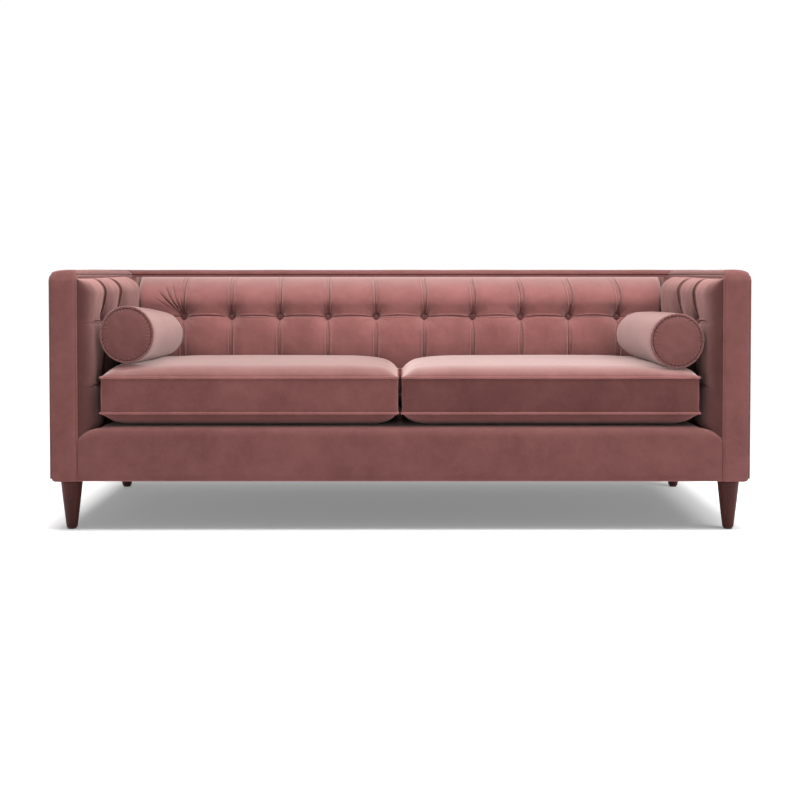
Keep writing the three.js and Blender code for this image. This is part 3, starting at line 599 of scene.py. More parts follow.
def pad_cover(form, acrosses, ups, place, depth, painted_fold_shade, painted_side_shade):
    """Lay a pad's cover, draw it in by its tufting, and close the pad's flat back. The two shades
    say how dark the painted shade is in its folds and along its two tucked-in sides."""
    crease_size = 0.0035
    painted_crease_shade = form.verts.layers.float.new("painted_crease_shade")
    cover = lay_grid(form, len(acrosses) - 1, len(ups) - 1, lambda column, row: place(
        acrosses[column][0], ups[row][0], acrosses[column][1] * ups[row][1]))
    form.normal_update()
    centre = acrosses[len(acrosses) // 2][0], ups[len(ups) // 2][0]
    flat = place(*centre, 0.0)
    outwards = (place(*centre, 1.0) - flat).normalized()
    moves = []
    for number, point in enumerate(cover):
        across, across_share = acrosses[number % len(acrosses)]
        up, up_share = ups[number // len(acrosses)]
        normal = point.normal if point.normal.dot(outwards) > 0 else -point.normal
        below = depth(across, up)
        beside = [depth(across + aside, up + above) for aside, above in (
            (crease_size, 0), (-crease_size, 0), (0, crease_size), (0, -crease_size))]
        creased = ease((below - sum(beside) / 4) / 0.0024)
        # Painted shade: creases and the tucked-in sides are marked for a darker colour.
        painted_tuck_shade = ease((0.65 - across_share) / 0.35)
        point[painted_crease_shade] = max(painted_fold_shade * creased, painted_side_shade * painted_tuck_shade)
        moves.append((point, normal * -(below * across_share * min(up_share * 1.6, 1.0))))
    for point, move in moves:
        point.co += move
    rim = [edge for edge in form.edges if edge.is_boundary]
    for point in bmesh.ops.extrude_edge_only(form, edges=rim)["geom"]:
        if isinstance(point, bmesh.types.BMVert):
            point.co += outwards * (flat - point.co).dot(outwards)
    close_ends(form)


def add_button(form, seat, outwards):
    """A round covered button, domed, with its cloth gathered under the rim."""
    profile = [(0, 0.0095), (0.0042, 0.0091), (0.0082, 0.0079), (0.0111, 0.0058),
               (0.0128, 0.0030), (0.0131, 0.0004), (0.0118, -0.0026), (0, -0.0026)]
    before = set(form.verts)
    turn(form, profile, 0, 0, 28)
    turned = outwards.to_track_quat("Z", "Y").to_matrix().to_4x4()
    turned.translation = seat
    points = [point for point in form.verts if point not in before]
    bmesh.ops.transform(form, matrix=turned, verts=points)


def add_buttons(name, seams, place, depth, outwards):
    """A button in the hollow at each crossing of a pad's seams and rows."""
    form = bmesh.new()
    for seam in seams:
        for row in pad_rows:
            lift = button_lift - depth(seam, row)
            add_button(form, place(seam, row, 1) + outwards * lift, outwards)
    make_piece(name, form, shaded_button_velvet, "frame")


def border_height(x, y):
    """How high the border's rolled top is at one place."""
    cosine = min(max((border_back - y) / border_roll, 0), 1)
    return dipped(x, border_top - border_roll * (1 - math.sqrt(1 - cosine ** 2)))


hands = (("left", -1), ("right", 1))
# Painted shade: the arm pads take a darker, shaded copy of the velvet, with a whiter painted
# sheen where they turn away, and the buttons take a darker, shaded copy too.
shaded_arm_velvet = velvet_finish("arm_pad_shaded_velvet", 0.39, 0.17, 0.28, (1.15, 0.6, 0.55))
shaded_button_velvet = velvet_finish("shaded_button_velvet", 0.62, 0.3, 0.05)
pad_rows = [0.435, 0.632]
button_lift = 0.0045
arm_pull, arm_valley_reach = 0.024, 0.086
arm_front_thickness, arm_rear_thickness = 0.044, 0.066
arm_rear, front_roll, rear_roll, top_roll, foot_roll = 0.1924, 0.075, 0.030, 0.052, 0.04
tail_share, tail_start, tail_step, tail_columns = 0.55, 0.03, 0.02, 12
# The last value is the painted shade in each arm pad's folds, less on the right.
for hand, side, arm_crease, arm_valley, arm_painted_fold_shade in (
        ("left", -1, 0.0042, 0.0120, 0.65), ("right", 1, 0.0022, 0.0060, 0.2)):
    low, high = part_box(f"{hand}_arm_pad")
    flat_x = high.x if side > 0 else -low.x
    front, rear, tail_end = low.y, arm_rear, high.y
    pad_low, pad_high = low.z, high.z
    arm_seams = [front + (rear - front) * share for share in (0.29, 0.575)]
    acrosses = roll_places(front, front_roll, 1, 0.0, 26)
    acrosses += pleat_places(front + front_roll, rear - rear_roll, arm_seams)
    acrosses += roll_places(rear, rear_roll, -1, tail_share, 16)[::-1]
    acrosses += [(rear + (tail_end - rear) * step / tail_columns, tail_share)
                 for step in range(1, tail_columns + 1)]
    ups = roll_places(pad_low, foot_roll, 1, 0.0, 10)
    ups += pleat_places(pad_low + foot_roll, pad_high - top_roll, pad_rows)
    ups += roll_places(pad_high, top_roll, -1, 0.0, 28)[::-1]

    def arm_place(across, up, share):
        arch = 0.008 * math.sin(math.pi * share_between(
            [front, *arm_seams, rear], across)) * line_at(
                up - pad_rows[nearest(pad_rows, up)], 0.05)
        along = ease((across - front) / (rear - front))
        arch -= 0.007 * (1 - along) * ease((up - pad_rows[-1]) / (pad_high - pad_rows[-1]))
        thickness = arm_front_thickness + (arm_rear_thickness - arm_front_thickness) * along
        share += (tail_share - share) * ease(
            (across - rear - tail_start) / tail_step) * (share > 0)
        return Vector((side * (flat_x - thickness * share), across, up + arch))

    def arm_depth(across, up):
        if across > rear:
            return 0.0
        return tuft_depth(across, up, arm_seams, pad_rows, pad_high, arm_pull, arm_crease,
                          arm_valley, arm_valley_reach)

    pad_form = bmesh.new()
    pad_cover(pad_form, acrosses, ups, arm_place, arm_depth, arm_painted_fold_shade, 0)
    for point in pad_form.verts:
        if point.co.y < border_back + 0.0005:
            point.co.z = max(point.co.z, border_height(point.co.x, point.co.y) + 0.0004)
    arm_pad = make_piece(f"tufted_{hand}_arm_pad", pad_form, shaded_arm_velvet, "frame")
    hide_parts(f"{hand}_arm_pad")
    add_buttons(f"{hand}_arm_buttons", arm_seams, arm_place, arm_depth, Vector((-side, 0, 0)))


# ---- Tufted back pad
# The same work, eleven panels wide and thicker. The pleats lean a little towards the right as
# the cover was drawn from that end, and the first button on the left has strong drag lines.
low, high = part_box("back_pad")
back_half, back_flat = high.x, high.y
back_thickness = 0.153
back_pull, back_crease, back_valley, back_valley_reach = 0.045, 0.0046, 0.011, 0.062
side_roll, crown_roll, back_foot_roll, side_share = 0.026, 0.105, 0.06, 0.3
drag_bearing, drag_spread, drag_depth, fine_cell = 2.12, 0.34, 0.0140, 0.0021
pad_low, pad_high = low.z, high.z
back_panels = 11
back_seams = [2 * back_half * (number / back_panels - 0.5) for number in range(1, back_panels)]
drag_end = back_seams[0] + 0.03
acrosses = roll_places(-back_half, side_roll, 1, side_share, 16)
acrosses += pleat_places(-back_half + side_roll, drag_end, back_seams[:1], fine_cell)
acrosses += pleat_places(drag_end, back_half - side_roll, back_seams[1:])[1:]
acrosses += roll_places(back_half, side_roll, -1, side_share, 16)[::-1]
ups = roll_places(pad_low, back_foot_roll, 1, 0.0, 12)
ups += pleat_places(pad_low + back_foot_roll, pad_high - crown_roll, pad_rows)
ups += roll_places(pad_high, crown_roll, -1, 0.0, 48)[::-1]


def pleat_bow(across, up):
    """How far a pleat leans aside between its buttons and the top."""
    number = nearest(back_seams, across)
    lean, lower_reach = 0.001 + 0.006 * number / (len(back_seams) - 1), 0.202
    above = up - pad_rows[1]
    if above > 0:
        share = above / (pad_high - pad_rows[1])
        bow = lean * (1.5 * math.sin(math.pi * share) - share)
    else:
        bow = 0.4 * lean * math.sin(math.pi * min(-above / lower_reach, 1))
    return bow * line_at(across - back_seams[number], 0.05)


def back_place(across, up, share):
    panel = sum(seam < across for seam in back_seams)
    arch = (0.0075 + 0.0025 * math.sin(3.1 * panel)) * math.sin(math.pi * share_between(
        [-back_half, *back_seams, back_half], across)) * line_at(
            up - pad_rows[nearest(pad_rows, up)], 0.05)
    return Vector((across + pleat_bow(across, up), back_flat - back_thickness * share, up + arch))


def back_depth(across, up):
    depth = tuft_depth(across, up, back_seams, pad_rows, pad_high, back_pull, back_crease,
                       back_valley, back_valley_reach)
    aside, above = across - back_seams[0], up - pad_rows[1]
    if aside < 0.01 and above > 0:
        reach, turned = math.hypot(aside, above), math.atan2(above, aside) - drag_bearing
        long_enough = ease((reach - 0.014) / 0.02) * (1 - ease((reach - 0.09) / 0.05))
        fold_line = (1 - abs(math.sin(15 * turned + 3 * reach))) ** 3
        depth += drag_depth * fold_line * line_at(turned, drag_spread) * long_enough
    return depth


# Painted light: the back pad takes a lighter, lit copy of the velvet.
lit_back_velvet = velvet_finish("back_pad_lit_velvet", 1.16, 0.8, 0.03)
pad_form = bmesh.new()
# Painted shade in the back pad's folds and along its tucked-in sides.
pad_cover(pad_form, acrosses, ups, back_place, back_depth, 0.68, 0.75)
back_pad = make_piece("tufted_back_pad", pad_form, lit_back_velvet, "frame")
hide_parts("back_pad")
add_buttons("back_buttons", back_seams, back_place, back_depth, Vector((0, -1, 0)))


# ---- Bands
# The padded strips over the frame's edges: up each arm's front and back along its top, and
# along the back. A self-covered welt is sewn into both edges, and the strips meet in a mitre.
band_side, welt_radius = 0.008, 0.0035
front_crown, arm_crown, top_crown = 0.008, 0.020, 0.024
band_velvet = velvet_finish("band_velvet", 0.84, 0.30, 0.03)
front_steps, corner_steps, top_steps = 40, 12, 60
corner_end = front_steps + corner_steps
band_end = corner_end + top_steps
seam_tuck, seam_tuck_reach, unevenness = 0.0022, 0.003, 0.0011


def band_section(width, crown, lean=1.0):
    """The strip's section, from its inner foot over the crown to its outer foot and back. The
    crown bulges over the crevice behind each welt, and leans to its inner side."""
    half_count = 28
    lip = 0.0104 + 0.35 * (crown - front_crown)
    bulge = 0.0060 - 0.19 * (crown - front_crown)
    foot = [(0.0004, 0), (0.0004, 0.0036), (0.0030, 0.0044), (0.0082, 0.0058),
            (0.0087, 0.0086), (0.0053 + bulge / 2, 0.0043 + lip / 2),
            (bulge + 0.0009, lip - 0.0009)]
    section = list(foot)
    for step in range(half_count + 1):
        angle = math.pi * step / half_count
        aside = math.copysign(abs(math.cos(angle)) ** 0.8, math.cos(angle))
        share = (0.5 - 0.5 * aside) ** lean
        section.append((bulge + (width - 2 * bulge) * share,
                        lip + (band_side + crown - lip) * math.sin(angle) ** 0.85))
    section += [(width - across, out) for across, out in reversed(foot)]
    section += [(width * share, 0) for share in (0.8, 0.6, 0.4, 0.2)]
    return section + section[:1]


def cord_along(form, path, radius, aside, closed=False):
    """A welt: a round cord along a path. aside is never in line with the path."""
    count = len(path)
    around = 10

    def cord_point(column, row):
        here = path[column % count]
        if closed:
            before, after = path[(column - 1) % count], path[(column + 1) % count]
        else:
            before, after = path[max(column - 1, 0)], path[min(column + 1, count - 1)]
        along = (after - before).normalized()
        level = along.cross(aside).normalized()
        upright = level.cross(along)
        angle = math.tau * (row % around) / around
        full = radius * (1 + 0.06 * noise.noise(here * 90))
        return here + level * (full * math.cos(angle)) + upright * (full * math.sin(angle))

    lay_grid(form, count if closed else count - 1, around, cord_point)


def sew_band(name, place, sections, width, aside):
    """A padded strip, closed at its ends, with a welt sewn into both its edges."""
    columns, rows = len(sections) - 1, len(sections[0]) - 1
    form = bmesh.new()
    lay_grid(form, columns, rows, lambda column, row: place(
        column, *sections[column][row % rows]))
    close_ends(form)
    for across in (welt_radius, width - welt_radius):
        path = [place(step, across, band_side) for step in range(columns + 1)]
        cord_along(form, path, welt_radius, aside)
    close_ends(form)
    return make_piece(name, form, band_velvet, "frame", 70)


arm_low, arm_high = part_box("right_arm_band")
arm_inner, arm_width = arm_low.x, arm_high.x - arm_low.x
body_low = arm_low.z
frame_top, frame_front = arm_high.z - top_crown - band_side, arm_low.y + front_crown + band_side
back_band_low, back_band_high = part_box("back_band")
back_inner = back_band_low.y
back_width = back_band_high.y - back_inner
corner_radius, foot_radius = 0.010, 0.020
mitre_gap = 0.0003


def arm_station(step):
    """Where the arm's strip is at one step: its foot line, its outward direction and crown."""
    if step <= front_steps:
        share = step / front_steps
        height = body_low + (frame_top - corner_radius - body_low) * share
        return Vector((0, frame_front, height)), Vector((0, -1, 0)), front_crown
    if step <= corner_end:
        share = (step - front_steps) / corner_steps
        angle = math.pi / 2 * share
        outwards = Vector((0, -math.cos(angle), math.sin(angle)))
        centre = Vector((0, frame_front + corner_radius, frame_top - corner_radius))
        crown = front_crown + (arm_crown - front_crown) * ease(share) ** 2
        return centre + outwards * corner_radius, outwards, crown
    share = (step - corner_end) / top_steps
    reach = back_inner - mitre_gap - frame_front - corner_radius
    return (Vector((0, frame_front + corner_radius + reach * share, frame_top)),
            Vector((0, 0, 1)), arm_crown + (top_crown - arm_crown) * ease(share))


def arm_band_point(side, step, across, out):
    """One place on an arm's strip, which lies lower where it is drawn into the mitre."""
    foot, outwards, crown = arm_station(step)
    share = across / arm_width
    point = foot + outwards * out
    if out > band_side * 1.05:
        point += outwards * (unevenness * noise.noise(
            Vector((side * 3 + across * 8, foot.y * 5, foot.z * 5))) * math.sin(math.pi * share))
    if step == 0:
        past = max(across - (arm_width - foot_radius), 0)
        point.z += foot_radius - math.sqrt(foot_radius ** 2 - past ** 2)
    if step > corner_end:
        done = (step - corner_end) / top_steps
        point.y += back_width * share * ease(done) ** 2
        from_seam = (1 - done) * 0.7
        point.z -= seam_tuck * math.exp(-from_seam / seam_tuck_reach) * (out > band_side)
    point.x = side * (arm_inner + across)
    return point


arm_sections = []
for step in range(band_end + 1):
    leaning = ease((step - 36) / 16) * (1 - ease((step - 60) / 50))
    arm_sections.append(band_section(arm_width, arm_station(step)[2], 1 + 0.7 * leaning))
for hand, side in hands:
    band = sew_band(f"padded_{hand}_arm_band", lambda *spot: arm_band_point(side, *spot),
                    arm_sections, arm_width, Vector((1, 0, 0)))
    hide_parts(f"{hand}_arm_band")

band_steps = 240


def back_band_point(step, across, out):
    share = step / band_steps
    reach = arm_inner - mitre_gap + arm_width * across / back_width
    x = reach * (2 * share - 1)
    point = Vector((x, back_inner + across, frame_top + out))
    if out > band_side:
        from_seam = reach - abs(x)
        full = math.sin(math.pi * across / back_width)
        point.z += unevenness * noise.noise(Vector((x * 5, across * 8, 4))) * full
        point.z -= seam_tuck * math.exp(-from_seam / seam_tuck_reach)
    return point


back_sections = [band_section(back_width, top_crown)] * (band_steps + 1)
back_band = sew_band("padded_back_band", back_band_point, back_sections, back_width,
                     Vector((0, 0, 1)))
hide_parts("back_band")


# ---- Outside panels
# Velvet over thin card on the outside of the arms and back, drawn tight, rolled under the frame
# and stapled. A little wadding makes their faces very slightly full.
panel_thickness, panel_corner = 0.004, 0.0097
panel_rows, side_columns, back_columns = 150, 70, 120
outside_velvet = velvet_finish("outside_velvet", 0.82, 0.5, 0.1)


def panel_section(top, bottom):
    """Down the outer face, round and under the frame, and back up inside."""
    outline = [(0, 0, top)]
    for radius, ends in ((foot_radius, (0, 8)), (foot_radius - panel_thickness, (8, 0))):
        for step in range(9):
            angle = math.pi / 2 * (ends[0] + (ends[1] - ends[0]) * step / 8) / 8
            outline.append((foot_radius - radius * math.cos(angle), 0,
                            bottom + foot_radius - radius * math.sin(angle)))
    outline.append((panel_thickness, 0, top))
    return resample(outline, panel_rows, closed=True)


def fuller(inside, height, along, share):
    """How far inside the outer face a place lies once the wadding has filled it."""
    if inside >= 0.0005:
        return inside
    height_share = (height - low.z) / (high.z - low.z)
    full = math.sin(math.pi * min(max(share, 0), 1)) * math.sin(math.pi * height_share)
    uneven = noise.noise(Vector((along * 4, height_share * 3, 9)))
    return inside - max(0.0007 * full ** 0.5 + 0.0005 * uneven, 0)


def hang_panel(name, columns, place):
    """A panel over its card, closed along its edges."""
    form = bmesh.new()
    lay_grid(form, columns, panel_rows, place)
    close_ends(form)
    return make_piece(name, form, outside_velvet, "frame", 40)


for hand, side in hands:
    low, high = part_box(f"{hand}_outside_panel")
    outer = high.x if side > 0 else -low.x
    section = panel_section(high.z, low.z)

    def side_panel_point(column, row):
        inside, height = section[row % panel_rows].xz
        drop = max(height - (high.z - panel_corner), 0)
        front = low.y + panel_corner - math.sqrt(max(panel_corner ** 2 - drop ** 2, 0))
        rear, share = high.y - inside, column / side_columns
        return Vector((side * (outer - fuller(inside, height, share, share)),
                       front + (rear - front) * share, height))

    panel = hang_panel(f"{hand}_outside_cover", side_columns, side_panel_point)
    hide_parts(f"{hand}_outside_panel")

low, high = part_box("outside_back_panel")
section = panel_section(high.z, low.z)


def back_panel_point(column, row):
    inside, height = section[row % panel_rows].xz
    share = column / back_columns
    return Vector(((high.x - inside) * (2 * share - 1),
                   high.y - fuller(inside, height, 2.5 * share, share), height))


panel = hang_panel("back_outside_cover", back_columns, back_panel_point)
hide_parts("outside_back_panel")


# ---- Seat cushions
# Loose cushions of foam wrapped in fibre, in a velvet case of a top panel, a bottom panel and
# a boxing strip, with a self-covered welt in both seams. The fibre swells the cover, which is
# simulated, and the bolster presses a dent into the top beside the arm.
# Painted light and shade: the tops and welts take lighter, lit copies of the velvet, the tops
# with more sheen and on the right a whiter painted sheen, and the undersides a darker, shaded
# copy. The right boxing is darker than the left.
cushion_velvets = {
    "left": [velvet_finish("left_boxing_velvet", 0.78, 0.22, 0.22),
             velvet_finish("left_cushion_top_lit_velvet", 0.95, 1.0, 0.03)],
    "right": [velvet_finish("right_boxing_velvet", 0.58, 0.15, 0.18),
              velvet_finish("right_cushion_top_lit_velvet", 1.05, 1.0, 0.2,
                            (1.0, 0.9, 0.85))]}
lit_welt_velvet = velvet_finish("cushion_welt_velvet", 1.12, 0.4, 0.12)
shaded_under_velvet = velvet_finish("cushion_under_velvet", 0.56, 0.15, 0.1)
cushion_columns, cushion_rows, boxing_rows = 96, 68, 10
cushion_rise, cushion_boxing = 0.039, 0.109
cushion_corner, cushion_welt, case_inset, corner_ear = 0.017, 0.0036, 0.0042, 0.0060
puff_pressure, puff_cap, puff_frames = 4.0, 0.003, 20
cell_bunching, side_gap, dent_end = 1.46, 0.0008, 0.03
boxing_fullness, top_unevenness, front_slump = 0.0028, 0.0012, 0.018


def puff(piece, still, pressure, reach):
    """Swell a cover with cloth simulation, capped at a reach from where it started."""
    start = [point.co.copy() for point in piece.data.vertices]
    group = piece.vertex_groups.new(name="still")
    group.add(still, 1.0, "REPLACE")
    cloth = piece.modifiers.new("puff", "CLOTH")
    for name, value in dict(
            quality=6, mass=0.25, tension_stiffness=18, compression_stiffness=18,
            shear_stiffness=6, bending_stiffness=0.4, use_pressure=True,
            uniform_pressure_force=pressure, vertex_group_mass="still").items():
        setattr(cloth.settings, name, value)
    cloth.settings.effector_weights.gravity = 0
    cloth.point_cache.frame_start, cloth.point_cache.frame_end = 1, puff_frames
    for moment in range(1, puff_frames + 1):
        bpy.context.scene.frame_set(moment)
    settled = piece.evaluated_get(bpy.context.evaluated_depsgraph_get())
    swollen = [point.co.copy() for point in settled.data.vertices]
    piece.modifiers.remove(cloth)
    piece.vertex_groups.remove(group)
    bpy.context.scene.frame_set(1)
    for point, before, after in zip(piece.data.vertices, start, swollen):
        move = after - before
        if move.length > reach:
            move *= reach / move.length
        point.co = before + move


def rounded(distance, reach, power, sharp=1.0):
    """How full a cushion is at a distance from its seam. It rises upright where sharp is 0.5."""
    return (1 - (1 - min(distance / reach, 1)) ** power) ** sharp


def cushion_top(outer, inner, front, rear):
    """The share of the crown that the top has at distances from its four seams."""
    inner_edge = 0.72 * rounded(inner, 0.055, 2, 0.6) + 0.28 * math.sin(
        math.pi / 2 * min(inner / 0.17, 1))
    outer_edge = 0.55 * rounded(outer, 0.04, 2, 0.5) + 0.45 * rounded(outer, 0.24, 1.6)
    front_edge = 0.62 * rounded(front, 0.050, 2, 0.5) + 0.38 * rounded(front, 0.17, 2)
    share = outer_edge * inner_edge * front_edge
    return share * rounded(rear, 0.06, 2.6) * (1 - 0.20 * ease((front - 0.18) / 0.42))


def roll_box(hand, side):
    """The box of a bolster. The right one lies further forward than its solid."""
    low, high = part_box(f"bolster_{hand}")
    ahead = Vector((0, 0.014 * (side > 0), 0))
    return low - ahead, high - ahead


def roll_form_at(side, share):
    """A bolster's section at a share of its length: where its middle lies from the middle of
    its solid, and half its width and height. Both taper a little to the rear, and the right
    one has come forward and hangs over the cushion's edge."""
    share = min(max(share, 0), 1)
    if side < 0:
        front, rear = (-0.0063, 0.0067, 0.0840, 0.0888), (0.001, -0.0165, 0.078, 0.0765)
    else:
        front, rear = (0.0155, -0.0130, 0.0828, 0.0850), (-0.003, -0.0155, 0.081, 0.0765)
    full = 0.0035 * math.sin(math.pi * share)
    values = [here + (there - here) * share for here, there in zip(front, rear)]
    return values[0], values[1], values[2] + full, values[3] + full


def cushion_case(half_x, half_y, foot, crown, arm_side):
    """The case's shape round its own middle, with close cells beside the seams."""
    form = bmesh.new()
    bmesh.ops.create_grid(form, x_segments=cushion_columns, y_segments=cushion_rows, size=1)
    raised = bmesh.ops.extrude_face_region(form, geom=form.faces[:], use_keep_orig=True)["geom"]
    bmesh.ops.translate(form, vec=(0, 0, 1), verts=[
        part for part in raised if isinstance(part, bmesh.types.BMVert)])
    posts = [edge for edge in form.edges
             if abs(edge.verts[0].co.z - edge.verts[1].co.z) > 0.5]
    bmesh.ops.subdivide_edges(form, edges=posts, cuts=boxing_rows - 1, use_grid_fill=True)
    # Top faces take the lit copy of the velvet and bottom faces the shaded copy.
    for face in form.faces:
        level = face.calc_center_median().z
        face.material_index = 1 if level > 1 - 1e-4 else 3 if level < 1e-4 else 0
    lower, upper = foot + cushion_rise, foot + cushion_rise + cushion_boxing
    rims = {0: [], boxing_rows: []}
    for point in form.verts:
        across, along, level = point.co
        flat_x = half_x * math.sin(cell_bunching * across) / math.sin(cell_bunching)
        flat_y = half_y * math.sin(cell_bunching * along) / math.sin(cell_bunching)
        sides = [half_x - arm_side * flat_x, half_x + arm_side * flat_x,
                 half_y + flat_y, half_y - flat_y]
        x, y = flat_x, flat_y
        past_x = (abs(x) - (half_x - cushion_corner)) / cushion_corner
        past_y = (abs(y) - (half_y - cushion_corner)) / cushion_corner
        if past_x > 0 and past_y > 0:
            round_x = past_x * math.sqrt(1 - past_y ** 2 / 2)
            round_y = past_y * math.sqrt(1 - past_x ** 2 / 2)
            ear = corner_ear * min(past_x, past_y) * abs(2 * level - 1) ** 4
            x = math.copysign(half_x - cushion_corner * (1 - round_x) + ear, x)
            y = math.copysign(half_y - cushion_corner * (1 - round_y) + ear, y)
        rim = max(abs(across), abs(along))
        if 1e-4 < level < 1 - 1e-4 or rim > 1 - 1e-6:
            full = boxing_fullness * math.sin(math.pi * level)
            x, y = x * (1 + full / half_x), y * (1 + full / half_y)
            z = lower + (upper - lower) * level
            if round(level * boxing_rows) in rims:
                rims[round(level * boxing_rows)].append(point)
        elif level > 0.5:
            z = upper + crown * cushion_top(*sides)
            z += top_unevenness * noise.noise(Vector((x * 5 + arm_side, y * 6, 1))) * min(
                min(sides) / 0.05, 1)
        else:
            rise = 1.0
            for distance in sides:
                rise *= rounded(distance, 0.07, 2, 0.6)
            z = lower - cushion_rise * rise
        slump = front_slump * level * ease((sides[2] - 0.08) / 0.3) * math.exp(-sides[1] / 0.06)
        point.co = (x, y, z - slump)
    return form, rims


for hand, side in hands:
    low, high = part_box(f"seat_cushion_{hand}")
    roll_low, roll_high = roll_box(hand, side)
    half_x, half_y = (high.x - low.x) / 2, (high.y - low.y) / 2
    centre = Vector(((high.x + low.x) / 2, (high.y + low.y) / 2, 0))
    upper = low.z + cushion_rise + cushion_boxing
    case_form, seam_rims = cushion_case(
        half_x - case_inset, half_y - case_inset, low.z, high.z - upper, side)
    case_form.verts.index_update()
    seam_numbers = []
    for level in (0, boxing_rows):
        rim = seam_rims[level]
        rim.sort(key=lambda point: math.atan2(point.co.y, point.co.x))
        seam_numbers.append([point.index for point in rim])
    bmesh.ops.recalc_face_normals(case_form, faces=case_form.faces)
    case_mesh = bpy.data.meshes.new("cushion_case")
    case_form.to_mesh(case_mesh)
    case_form.free()
    trial = bpy.data.objects.new("cushion_case", case_mesh)
    bpy.context.collection.objects.link(trial)
    still = [point.index for point in case_mesh.vertices if point.co.z < low.z + 0.0005]
    puff(trial, still, puff_pressure, puff_cap)
    bpy.data.objects.remove(trial)
    reach_x, reach_y, top = (
        max(abs(point.co[axis]) for point in case_mesh.vertices) for axis in range(3))
    roll_x, roll_z = (roll_low.x + roll_high.x) / 2, (roll_low.z + roll_high.z) / 2
    for point in case_mesh.vertices:
        x, y, z = point.co
        x = x * min(1, (half_x - side_gap) / reach_x) + centre.x
        y = y * min(1, (half_y - side_gap) / reach_y) + centre.y
        if z > upper:
            z = upper + (z - upper) * (high.z - upper) / (top - upper)
            share = (y - roll_low.y) / (roll_high.y - roll_low.y)
            middle_x, middle_z, wide, tall = roll_form_at(side, share)
            aside = (x - roll_x - middle_x) / wide
            if share > 0 and abs(aside) < 1:
                under = roll_z + middle_z - tall * math.sqrt(1 - aside ** 2) - 0.0004
                inside = ease((y - roll_low.y) / dent_end)
                z += (min(z, under) - z) * inside
                z += max(under - z, 0) * line_at(aside, 0.4) * inside * ease(
                    (roll_high.y - y) / dent_end)
        point.co = (x, y, max(z, low.z + 0.0001))
    case_form = bmesh.new()
    case_form.from_mesh(case_mesh)
    case_form.verts.ensure_lookup_table()
    seam_paths = [[case_form.verts[number].co.copy() for number in numbers]
                  for numbers in seam_numbers]
    for path in seam_paths:
        sewn = len(case_form.faces)
        cord_along(case_form, path, cushion_welt, Vector((0, 0, 1)), closed=True)
        for face in case_form.faces[sewn:]:
            face.material_index = 2
    cushion = make_piece(f"boxed_seat_cushion_{hand}", case_form, cushion_velvets[hand][0],
                         f"{hand}_cushion", 180)
    for velvet in (cushion_velvets[hand][1], lit_welt_velvet, shaded_under_velvet):
        cushion.data.materials.append(velvet)
    finer = cushion.modifiers.new("finer", "SUBSURF")
    finer.levels = finer.render_levels = 1
    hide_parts(f"seat_cushion_{hand}")


# ---- Bolsters
# Round bolsters of rolled foam in velvet, with a welt round each end. The ends are slightly
# domed, and their cloth is eased into the welt in short gathers.
bolster_velvet = velvet_finish("bolster_velvet", 0.82, 0.66, 0.03)
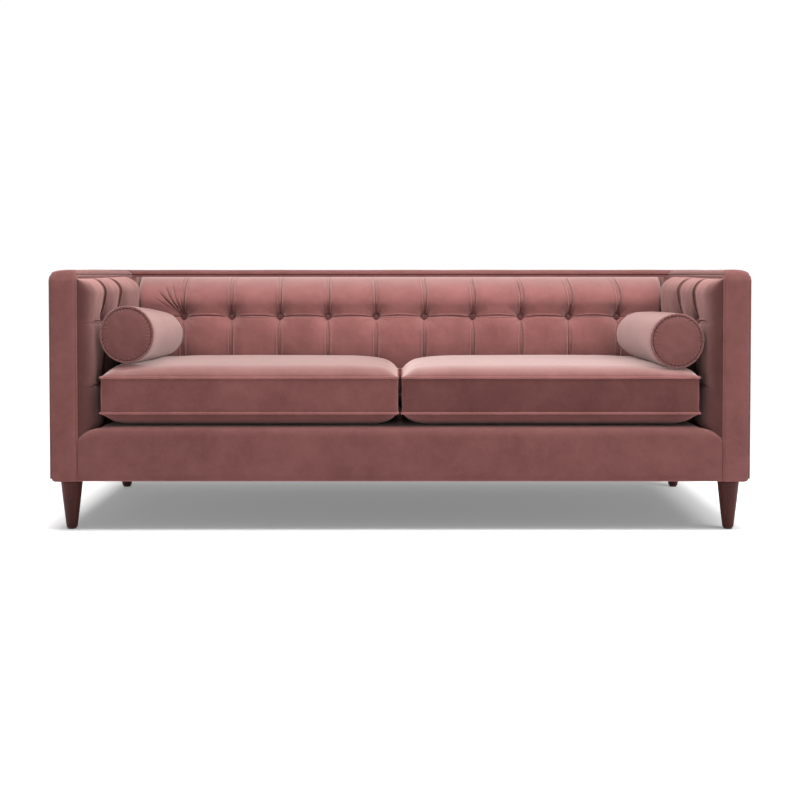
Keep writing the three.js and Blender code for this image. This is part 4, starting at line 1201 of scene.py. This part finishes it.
# Painted shade: the end discs take a darker, shaded copy of the velvet.
bolster_end_shaded_velvet = velvet_finish("bolster_end_shaded_velvet", 0.72, 0.4, 0.12)
roll_around, end_rings, body_rings = 380, 34, 56
all_rings, ring_bunching = 2 * end_rings + body_rings, 1.6
dome, seam_inset, roll_radius = 0.010, 0.0034, 0.08
gather_depth, seam_groove, groove_half_width = 0.0036, 0.0034, 0.0017
for hand, side in hands:
    low, high = roll_box(hand, side)
    roll_x, roll_z = (low.x + high.x) / 2, (low.z + high.z) / 2
    front_rim, rear_rim = low.y + dome, high.y - dome

    def roll_point(column, row):
        angle = math.tau * (column % roll_around) / roll_around
        gather = (1 - abs(math.sin(19 * angle + 0.9 * math.sin(3 * angle)))) ** 1.3
        gather *= 0.75 + 0.25 * math.sin(7 * angle + 1)
        gather_reach = 0.0095 + 0.003 * math.sin(11 * angle + 2)
        spot = Vector((math.cos(angle), math.sin(angle), side))
        ring = min(row, all_rings - row)
        if ring <= end_rings:
            reach = 1 - (1 - ring / end_rings) ** ring_bunching
            inward = roll_radius * (1 - reach)
            out = dome * (1 - reach ** 3)
            out -= gather_depth * gather * line_at(inward - 0.005, gather_reach)
            out -= seam_groove * line_at(inward - 0.0046, groove_half_width)
            out += 0.0016 * noise.noise(spot * (reach * 2.5)) * min(inward / 0.02, 1)
            y = front_rim - out if row <= end_rings else rear_rim + out
            change = reach * (1 - seam_inset / roll_radius) - 1
        else:
            share = (row - end_rings) / body_rings
            y = front_rim + (rear_rim - front_rim) * (0.5 - 0.5 * math.cos(math.pi * share))
            from_rim = min(y - front_rim, rear_rim - y)
            inset = seam_inset * (1 - rounded(from_rim, 0.05, 3))
            inset += 0.0007 * gather * math.exp(-from_rim / 0.012)
            inset += 0.0018 * line_at(from_rim - 0.0050, groove_half_width)
            inset += 0.0010 * (0.5 + noise.noise(spot * 2.2 + Vector((0, 0, y * 7))))
            change = -inset / roll_radius
        middle_x, middle_z, wide, tall = roll_form_at(side, (y - low.y) / (high.y - low.y))
        return Vector((roll_x + middle_x + wide * (1 + change) * math.cos(angle), y,
                       roll_z + middle_z + tall * (1 + change) * math.sin(angle)))

    roll_form = bmesh.new()
    painted_crease_shade = roll_form.verts.layers.float.new("painted_crease_shade")
    cover = lay_grid(roll_form, roll_around, all_rings, roll_point)
    # Painted shade in the groove beside each end's welt and along the body's seam line.
    for number, point in enumerate(cover):
        row = number // (roll_around + 1)
        ring = min(row, all_rings - row)
        inward = roll_radius * max(1 - ring / end_rings, 0) ** ring_bunching
        from_rim = min(point.co.y - front_rim, rear_rim - point.co.y)
        if ring <= end_rings:
            point[painted_crease_shade] = 0.8 * line_at(inward - 0.0042, groove_half_width)
        else:
            point[painted_crease_shade] = 0.6 * line_at(from_rim - 0.0046, 0.0018)
    bmesh.ops.remove_doubles(roll_form, verts=roll_form.verts, dist=0.00001)
    for face in roll_form.faces:
        middle = face.calc_center_median().y
        face.material_index = int(not front_rim < middle < rear_rim)
    for row, step in ((end_rings, 0.0008), (end_rings + body_rings, -0.0008)):
        path = [roll_point(column, row) + Vector((0, step, 0)) for column in range(roll_around)]
        cord_along(roll_form, path, welt_radius, Vector((0, 1, 0)), closed=True)
    bolster = make_piece(f"round_bolster_{hand}", roll_form, bolster_velvet,
                         f"{hand}_bolster", 180)
    bolster.data.materials.append(bolster_end_shaded_velvet)
    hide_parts(f"bolster_{hand}")
